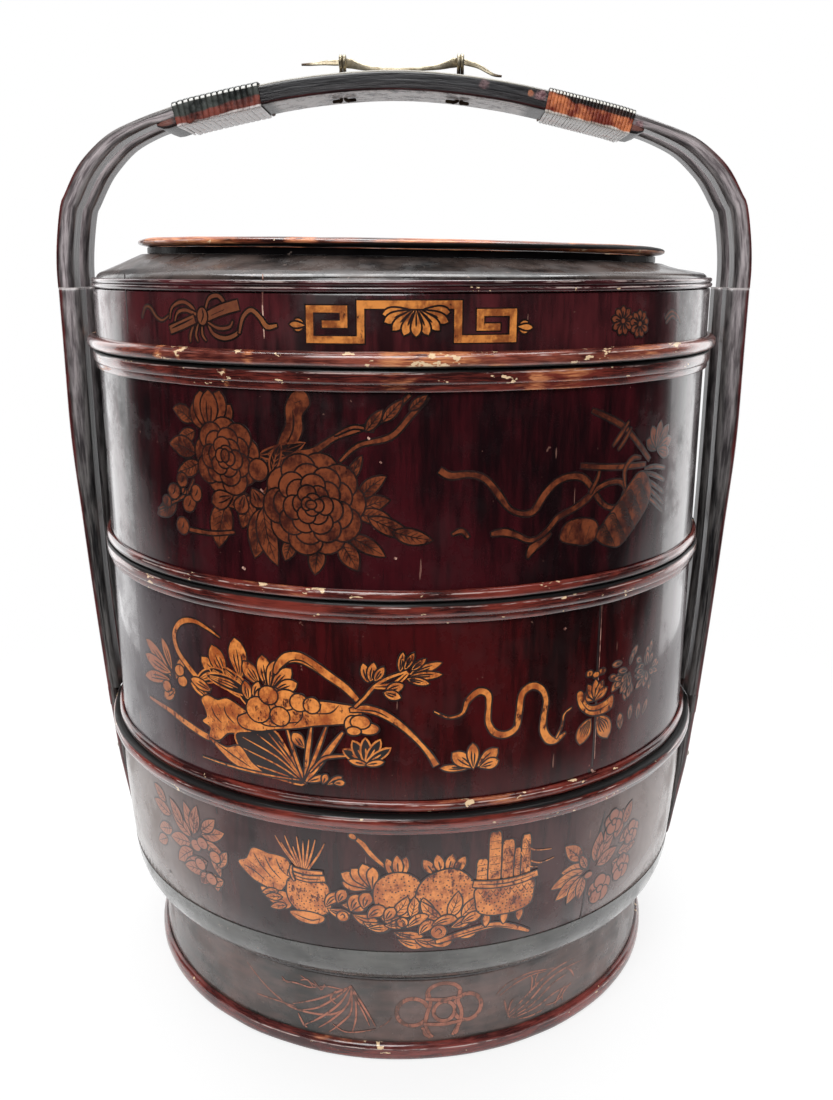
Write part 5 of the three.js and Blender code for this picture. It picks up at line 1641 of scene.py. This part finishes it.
def fruitPainting():
    # base tray: citron and vase, pomegranates, footed pot with scrolls, flowers at the sides
    art = Drawing()
    art.each(art.leaf, ((-104, 116, 112, 17, 7, 10), (-104, 116, 78, 17, 7, -10),
        (-106, 114, 150, 17, 7, 0), (-98, 118, 20, 16, 7, 10), (-98, 120, 44, 13, 6, 10),
        (-96, 115, -30, 15, 7, 0), (-92, 112, -72, 15, 6, 0), (-107, 110, 190, 17, 8, 0),
        (-106, 106, 220, 17, 8, 10), (-112, 118, 130, 15, 6, 0), (-96, 103, 200, 18, 7, -10),
        (-98, 97, 190, 16, 7, 10), (-96, 96, 230, 9, 6, 0), (-92, 98, 280, 10, 6, 0),
        (-88, 103, 60, 12, 5, 0), (-86, 96, 210, 10, 5, 0), (-122, 120, 170, 16, 7, 0),
        (-122, 112, 200, 14, 7, 0), (-126, 126, 150, 12, 6, 0), (-128, 104, 210, 12, 6, 0)), 3)
    for x, y in ((-103, 110), (-98, 113), (-90, 108), (-101, 100), (-94, 94)):
        art.lobe(x, y, 3.4, 3, 0, [[(x - 1, y), (x + 1, y + 1)]])
    # citron
    art.blob([(-75, 110.6), (-70, 114), (-67, 120), (-63, 120.6), (-58, 119.6), (-53, 119.6), (-48, 118),
        (-46.6, 111), (-50, 104), (-54, 100), (-62, 101.6), (-68, 104)], [[(-72, 110), (-66, 108),
        (-60, 104)], [(-66, 118), (-62, 112), (-56, 106)], [(-60, 118), (-57, 112), (-52, 107)],
        [(-54, 118), (-52, 113), (-49, 110)], [(-69, 113), (-64, 110)]])
    art.speckle(-60, 109, 13, 9, 34, 7, 0.34)
    art.blob([(-63, 100), (-56, 99.6), (-50, 100), (-47, 95), (-50, 91), (-57, 92.6), (-61, 96)],
        [[(-60, 98), (-54, 94)], [(-56, 98.6), (-50, 94)]])
    art.each(art.leaf, ((-54, 100, 200), (-52, 97, 190), (-50, 93, 200)), 9, 3.4, 0, 2)
    # vase with grasses
    for x, y in ((-54, 130), (-51, 127), (-49, 131), (-45, 126), (-43, 131.6), (-40, 130), (-37, 131),
                 (-34, 131.4), (-31, 126), (-29.6, 130)):
        blade = [(-40 + (x + 40) * 0.2, 115), (-40 + (x + 40) * 0.7, (115 + y) / 2 + 1), (x, y)]
        art.ribbon(blade, [0.9, 0.9, 0.3], (), "gilt", 0.25)
    art.blob([(-46, 109), (-49, 103), (-48, 96), (-43, 91), (-37, 90), (-30, 92), (-27.4, 97), (-28, 104),
        (-31, 109)])
    art.speckle(-38, 99, 10, 9, 60, 3, 0.4)
    art.blob([(-48, 90), (-44, 86), (-38, 85), (-33, 86.4), (-31, 89.6), (-38, 91.4)],
        [[(-46, 89), (-38, 87), (-33, 88.6)]])
    art.ribbon([(-48, 111.4), (-39, 110), (-30, 111.2)], [2.6, 3, 2.6], [[(-46, 111), (-39, 109.8),
        (-32, 110.8)]])
    art.ribbon([(-46, 114.4), (-39, 113.6), (-31, 114.4)], [1.4, 2, 1.4])
    art.ribbon([(-46, 116), (-46.4, 112), (-45, 108)], 1)
    # leaf and scrolling foliage
    art.ribbon([(-17.6, 136), (-12, 131.4), (-8, 126), (-2, 120)], [0.8, 2.2, 2, 1.2])
    art.lobe(-16.6, 135, 1.8, 1.2, -30)
    art.fan(-8, 107.6, ((170, 14, 6), (152, 16, 6.4), (132, 14, 6), (108, 14, 6), (88, 12, 5)), 8, 0.66, 1)
    art.petal(-8, 106, 40, 15, 7, 20, 0.6, 2)
    # pomegranates
    art.each(art.petal, ((2.6, 115, 112), (5.6, 115.4, 78), (4.2, 116, 94)), 10, 4.4, 0, 0.45, 1)
    art.blob([(4, 117), (11, 115), (15.4, 108), (15, 99), (10, 93.6), (3, 92.6), (-4, 95), (-7, 102),
        (-6.4, 110), (-2, 115)])
    art.speckle(4, 105, 11, 12, 70, 11)
    art.each(art.petal, ((20.6, 116, 124), (23.6, 117, 102), (27, 117, 78), (30.4, 116, 62)),
        9, 4.4, 0, 0.5, 1)
    art.blob([(26, 118), (33, 116.4), (38.6, 110), (39.4, 101), (35, 93), (27, 89.6), (19, 91), (13.6, 97),
        (12.6, 106), (17, 114)])
    art.speckle(26, 104, 13, 14, 90, 12)
    art.each(art.leaf, ((-6, 96, 10, 14, 5, 60), (2, 94, 60, 12, 5.6, 40), (10, 93, 84, 11, 5, 30),
        (-4, 93, -6, 14, 5, 40), (20, 92, 110, 12, 6, -30), (28, 92, 76, 14, 6, 30),
        (34, 92, 56, 12, 6, 30), (24, 91, 130, 14, 5, -40)), 3)
    art.each(art.petal, ((-30, 96, 40, 11, 5, -60), (-29, 95, -4, 11, 5, 60), (-24, 99, 60, 8, 5, -30),
        (-22, 98, 10, 12, 6, 40), (-18, 95, 60, 10, 6, -40), (-17, 93, -10, 12, 6, 50),
        (-12, 97, 70, 9, 6, -30), (-10, 92, 30, 10, 6, -50), (-12, 89, -10, 13, 5, 40),
        (-10, 86, 10, 10, 4, 30), (-2, 88, 20, 12, 5, 40), (2, 84, -8, 14, 5, 30), (4, 80, -14, 13, 5, 30),
        (8, 87, 30, 12, 5, -40), (14, 83, 40, 10, 5, -60), (12, 80, -10, 12, 5, 40),
        (18, 78, 4, 12, 5, 30), (20, 88, 10, 12, 5, -40), (29, 86, 30, 10, 5, 30), (30, 81, 10, 12, 5, 30),
        (34, 88, 20, 10, 5, -30), (-2, 91, 60, 8, 5, 0)), 0.6, 2)
    for x, y, size in ((23, 84, 3.6), (-22, 91.6, 2.6), (6, 90, 2.4)):
        curl = [(x - size * 0.5, y), (x, y + size * 0.5), (x + size * 0.4, y), (x, y - size * 0.4)]
        art.lobe(x, y, size, size, 0, [curl])
    art.ribbon([(22, 78), (30, 80.4), (40, 83), (51, 84), (61, 80.4),
        (69, 76)], [1.6, 2.6, 2.8, 2.6, 2.4, 1], [[(28, 80), (40, 82.6), (50, 83.4), (60, 80.4)]])
    # footed pot with books and scrolls
    for x, y, wide, high, bands in (
            (43, 110, 5, 11, 3), (49, 110, 5.6, 24, 5), (55.6, 110, 5.6, 19, 4), (60.4, 110, 3, 14, 3),
            (64.6, 110, 4.4, 20, 5)):
        left, right, top = x - wide / 2, x + wide / 2, y + high
        levels = [y + high * (band + 1) / (bands + 1) for band in range(bands)]
        art.blob([(left, y), (left, (y + top) / 2), (left + 0.3, top - 0.4), (x, top + 0.5),
                  (right - 0.3, top - 0.4), (right, (y + top) / 2), (right, y), (x, y - 0.4)],
                 [[(left + 0.4, level), (right - 0.4, level)] for level in levels])
        art.speckle(x, (y + top) / 2, wide / 2, high / 2, int(high), int(x), 0.3)
    for points in ([(66, 117), (72, 114), (80, 115)], [(64, 128), (68, 122), (78, 120)],
                   [(62, 122), (66, 114), (71, 112)]):
        art.ribbon(points, [0.7, 0.7, 0.3], (), "gilt", 0.2)
    for x in (46, 55, 63):
        art.petal(x, 91, 268, 7, 3.4, 0, 0.4, 0)
    art.blob([(41, 106), (40.4, 99), (42, 93), (48, 90.4), (55, 90), (62, 90.4), (68, 93), (69.4, 99),
        (68.6, 106), (55, 104.6)])
    art.speckle(55, 95, 14, 5, 52, 21, 0.44)
    for row in range(2):
        for column in range(9):
            x, down = 42.6 + column * 3.1 + row * 1.5, row * 2.2
            notch = [(x - 1.2, 104.4 - down), (x, 102.8 - down), (x + 1.2, 104.4 - down)]
            art.shapes[-1]["lines"].append(stroke(notch, 0.5))
    art.ribbon([(39, 108.8), (47, 107.4), (55, 107), (63, 107.4), (71, 108.8)], [3, 3.4, 3.4, 3.4, 3],
        [[(41, 108.4), (55, 106.8), (69, 108.4)]])
    # flowers on the right
    art.each(art.leaf, ((97, 108, 136, 15, 7.6, 10), (100, 102, 172, 15, 7, 10), (99, 101, 194, 20, 7, 20),
        (97, 99, 214, 17, 7, 0), (98, 98, 238, 15, 6.6, 0), (99, 98, 262, 13, 5.6, 0),
        (101, 102, 120, 10, 4, 0), (106, 104, 80, 16, 7, 0), (108, 104, 52, 17, 7, 0),
        (108, 101, 20, 15, 7, 0), (112, 112, 60, 16, 7, 0), (120, 112, 70, 15, 7, 0),
        (124, 108, 30, 15, 7, 0), (124, 102, 0, 15, 7, 0), (120, 98, -30, 14, 7, 0),
        (126, 118, 60, 12, 6, 0)), 3)
    for x, y, size in ((112, 86, 1), (128, 92, 0.9), (118, 122, 0.8), (134, 110, 0.8)):
        art.peony(x, y, [(5, 4.6 * size, 4 * size, 3.6 * size)], 20)
        art.lobe(x, y, 1.8 * size, 1.8 * size)
    art.lobe(102.6, 97.4, 2.6, 1.6)
    return art


def footPainting():
    # foot: a knot of rings between two tufts of grass
    art = Drawing()
    art.each(art.ribbon, (([(-80, 38.6), (-70, 30.4), (-60, 24.4), (-51, 21), (-34, 21.6), (-24, 26.6),
        (-19.6, 36), (-20, 41)], 1.1), ([(-74, 22), (-62, 22.6), (-50, 22.4)], 0.8), ([(-52, 23.6),
        (-38, 30), (-26, 37), (-20, 41)], 1), ([(-48, 21), (-38, 25), (-28, 33), (-20.4, 41)],
        1), ([(-46, 12.6), (-36, 20), (-26, 30), (-20.2, 41)], 1.1), ([(-38, 13), (-30, 20), (-22, 30),
        (-20, 41)], 1), ([(-32, 12), (-26, 18), (-20.4, 26), (-20, 40)], 1), ([(-20, 14), (-18, 22),
        (-18, 32), (-20, 41)], 1), ([(-8, 18.6), (-13, 28), (-17.6, 36), (-20, 41)],
        1.1), ([(-11, 18.6), (-14, 26), (-18, 34), (-20, 41)], 0.9), ([(-24, 38), (-32, 38.6), (-38, 37.6),
        (-47, 41.6)], 0.9), ([(-36, 38), (-42, 36), (-49, 36.6), (-58, 36)], 0.8), ([(-40, 40.6),
        (-36, 36), (-34, 39.6)], 0.8), ([(-47, 39), (-43, 40), (-40, 36)], 0.8), ([(-28, 37), (-31, 32),
        (-28, 29)], 0.9), ([(-58, 38), (-55, 35.6), (-52, 37)], 0.7), ([(-30, 17), (-24, 13.6),
        (-16, 14.6), (-8, 17)], 0.7), ([(-6, 18), (-2, 21), (0, 24)], 0.6), ([(-49, 19), (-46, 13),
        (-44, 12)], 1.2), ([(54, 31), (60, 36), (72, 38.4), (82, 37), (89, 35.4)], 0.8), ([(56, 30),
        (64, 34.4), (74, 36.6), (84, 35.6)], 0.7), ([(61, 17), (70, 24), (80, 31), (92, 35), (104, 35)],
        1.2), ([(62, 16), (74, 22), (84, 29), (96, 32), (110, 31)], 1.2), ([(63, 15), (76, 19), (88, 26),
        (98, 28)], 1.1), ([(64, 14.4), (78, 16), (90, 20), (102, 20)], 1), ([(62, 15), (60, 21),
        (58.6, 27)], 1), ([(61, 16), (62, 23), (64, 26)], 1), ([(66, 13), (74, 12), (84, 13)],
        0.8), ([(74, 26), (75, 33), (74, 37)], 0.9), ([(78, 28), (77, 33), (79, 37)],
        0.8), ([(90, 12), (94, 18), (98, 22)], 1), ([(96, 12), (96, 17), (102, 21)],
        0.9), ([(98, 32), (102, 28), (104, 24)], 1), ([(84, 15), (90, 14), (96, 16)], 0.8)),
        (), "gilt", 0.12)
    return art


def knotPainting():
    art = Drawing()

    def oval(x, y, across, up, width, start=0, end=360):
        points = []
        for step in range(17):
            angle = math.radians(start + (end - start) * step / 16)
            points.append((x + across * math.cos(angle), y + up * math.sin(angle)))
        art.ribbon(points, [width, width], (), "gilt", 0.2)

    oval(26.4, 37.2, 8.4, 5.6, 2, -50, 230)
    oval(10.6, 27, 8, 7.8, 2.1, 20, 338)
    oval(38.6, 27.6, 7.2, 7.6, 2.1, -158, 160)
    oval(26.6, 26.6, 5.4, 5.6, 1.9)
    for points in (
            [(18.4, 38), (19.6, 32), (18, 26), (17, 20), (19, 14), (21, 12)],
            [(34.6, 38), (33.6, 32), (35.4, 26), (35, 20), (32, 14), (31, 12)],
            [(17, 34.6), (26, 33.4), (36, 34.6)], [(16, 20), (26, 19), (36, 20)],
            [(15.6, 18), (17, 14), (19.6, 11.6)], [(34, 17), (33, 14), (32, 12.6)]):
        art.ribbon(points, [1.6, 1.9, 1.9, 1.4], (), "gilt", 0.2)
    return art


def crackPainting(lines):
    # old joints and cracks: points, width, and pale or dark
    art = Drawing()
    for points, width, fill in lines:
        art.lay(stroke(points, width), (), 0, fill)
    return art


cracks = {
    "middle_tray": [
        ([(101.8, 241), (101.5, 215), (101.8, 190), (101.4, 156)], [1.2, 1, 1.2, 1.1], "ink"),
        # painted highlight: thin pale lines along the crack and its hook stand for light on its edge
        ([(102.6, 241), (102.8, 214), (102.5, 186), (102.8, 160)], [0.25, 0.3, 0.2, 0.3], "gilt"),
        ([(99, 155.6), (101, 152), (103.4, 150.6), (106, 149)], [1.2, 2.6, 2, 0.6], "ink"),
        ([(101, 155), (102.4, 153.2), (104.6, 152.6)], [0.8, 1.4, 0.5], "gilt"),
        ([(81, 229.2), (82, 230)], [1.2, 1.2], "gilt"),
    ],
    "base": [
        ([(110.8, 130), (108.6, 122), (104.4, 111), (101.8, 101), (101.4, 88), (100.8, 73)],
         [0.7, 1.4, 1.1, 1.3, 1, 0.8], "ink"),
        ([(-87, 137), (-86.6, 133)], [0.7, 0.9], "ink"), ([(-70.4, 86.6), (-69.6, 85.4)], [1, 1], "ink"),
        ([(-130.6, 83.6), (-129.4, 82.6)], [1, 1], "ink"),
    ],
    "upper_tray": [
        ([(-56, 295.2), (-54, 293.4)], [0.8, 1], "gilt"), ([(-33, 298.8), (-32, 298)], [0.8, 0.9], "gilt"),
        ([(-8.4, 319.4), (-7.4, 318.6)], [0.8, 0.9], "gilt"),
        ([(-3.4, 309.2), (-2.6, 308.6)], [0.7, 0.8], "gilt"),
        ([(2.4, 267.8), (3.6, 267.2)], [0.9, 0.9], "gilt"),
        ([(-66.8, 259), (-65, 258.2)], [0.9, 1.4], "gilt"),
    ],
    "lid": [
        ([(-51.2, 385), (-51.7, 372), (-51.4, 359)], [0.4, 0.6, 0.4], "gilt"),
        ([(-134.6, 385), (-134.4, 370), (-134.8, 358.6)], [0.9, 1.1, 0.8], "ink"),
    ],
}


# Gilt painting, laid on the walls

def flatPlates(name, plates):
    # every outline as a filled face at its height, in one flat mesh
    alone()
    bpy.ops.mesh.primitive_circle_add(vertices=len(plates[0][0]), radius=mm, fill_type="NGON")
    piece = bpy.context.object
    piece.name = name
    bpy.ops.object.mode_set(mode="EDIT")
    for loop, height in plates[1:]:
        bpy.ops.mesh.primitive_circle_add(vertices=len(loop), radius=mm, fill_type="NGON")
    bpy.ops.object.mode_set(mode="OBJECT")
    spots = [(*spot, height) for loop, height in plates for spot in loop]
    for corner, spot in zip(piece.data.vertices, spots):
        corner.co = Vector(spot) * mm
    return piece


def cutFlat(spot, across):
    bpy.ops.mesh.select_all(action="SELECT")
    bpy.ops.mesh.bisect(plane_co=Vector(spot) * mm, plane_no=across)


flatPiece = {"deep": 2, "sunk": 0.12, "sharpest": 30}


def layPainting(name, art, coat, slotName, body, spread, outsideAt, levels, turned=True):
    # the flat drawing wrapped on a turned wall, facet by facet, and again on its back
    cell = fullTurn / ringSteps
    for part, finish in (("gilt", coat), ("ink", "ink")):
        plates = [(loop, height) for loop, height, kind in art.plates() if kind == part]
        if not plates:
            continue
        piece = flatPlates(f"{name}_{part}", plates)
        reach = [spot[0] for loop, height in plates for spot in loop]
        first, last = math.ceil(min(reach) / spread / cell), math.floor(max(reach) / spread / cell)
        bpy.ops.object.mode_set(mode="EDIT")
        for index in range(first, last + 1):
            cutFlat((index * cell * spread, 0, 0), (1, 0, 0))
        for level in levels:
            cutFlat((0, level, 0), (0, 1, 0))
        bpy.ops.mesh.select_all(action="SELECT")
        bpy.ops.mesh.extrude_region_move(TRANSFORM_OT_translate={"value": (0, 0, -flatPiece["deep"] * mm)})
        bpy.ops.object.mode_set(mode="OBJECT")
        for corner in piece.data.vertices:
            along, level, height = corner.co / mm
            turn = along / spread
            middle = (math.floor(turn / cell + 1e-4) + 0.5) * cell
            out = outsideAt(level) + (height if height > 0 else -flatPiece["sunk"])
            out *= math.cos(cell / 2) / math.cos(turn - middle)
            corner.co = Vector((out * math.sin(turn), -out * math.cos(turn), level)) * mm
        if turned:
            only(piece)
            bpy.ops.object.duplicate()
            for corner in bpy.context.object.data.vertices:
                corner.co = Vector((-corner.co.x, -corner.co.y, corner.co.z))
            piece.select_set(True)
            bpy.context.view_layer.objects.active = piece
            bpy.ops.object.join()
        only(piece)
        faceOut(flatPiece["sharpest"])
        place(piece, finish, body, slotName)


def makePaintings():
    spread = 160  # radius that the drawings on the trays and the lid are made for
    middleOut, upperOut = ringSize("middle_wall")[0], ringSize("upper_wall")[0]
    lidOut, footOut = ringSize("lid_wall")[0], ringSize("foot_drum")[0]
    flares = [bellyLevel + (baseTop - bellyLevel) * height for height, flare in baseShape["flare"][1:-1]]
    walls = {
        # body, radius that its drawings are made for, the wall's radius at a level, levels where it bends
        "middle_tray": ("middle_tray", spread, lambda level: middleOut, ()),
        "upper_tray": ("upper_tray", spread, lambda level: upperOut, ()),
        "lid": ("lid", spread, lambda level: lidOut, ()),
        "base": ("basket_frame", spread, baseOutsideAt, flares),
        "foot": ("basket_frame", footOut, lambda level: footOut, ()),
    }
    for name, draw, wall, coat, slotName in (
            ("lotus", lotusPainting, "middle_tray", "gilt", "red_brown_lacquer"),
            ("peony", peonyPainting, "upper_tray", "redGilt", "red_brown_lacquer"),
            ("fret", fretPainting, "lid", "lidGilt", "red_brown_lacquer"),
            ("fruit", fruitPainting, "base", "baseGilt", "red_brown_lacquer"),
            ("grass", footPainting, "foot", "dullGilt", "dark_lacquer"),
            ("knot", knotPainting, "foot", "dullGilt", "dark_lacquer")):
        layPainting(name, draw(), coat, slotName, *walls[wall])
    for wall, lines in cracks.items():
        art = crackPainting(lines)
        layPainting(f"{wall}_crack", art, "chipsAndHighlight", "red_brown_lacquer", *walls[wall], turned=False)
    print("paintings laid")


def finishFloors():
    for node in ("base_floor", "middle_floor", "upper_floor"):
        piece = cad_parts[node]
        piece.data.materials.clear()
        piece.data.materials.append(finishes["inside"])


for make in (
        makeCamera, makeLamps, makeWorld, makeFloor, makeTrays, makeHoops, makeBase, makeLid, makeHandle,
        makeLegs, makeRattan, makeBail, makePins, makePlate, makeStuds, makePaintings, finishFloors):
    make()

bpy.context.scene.view_settings.view_transform = "Standard"
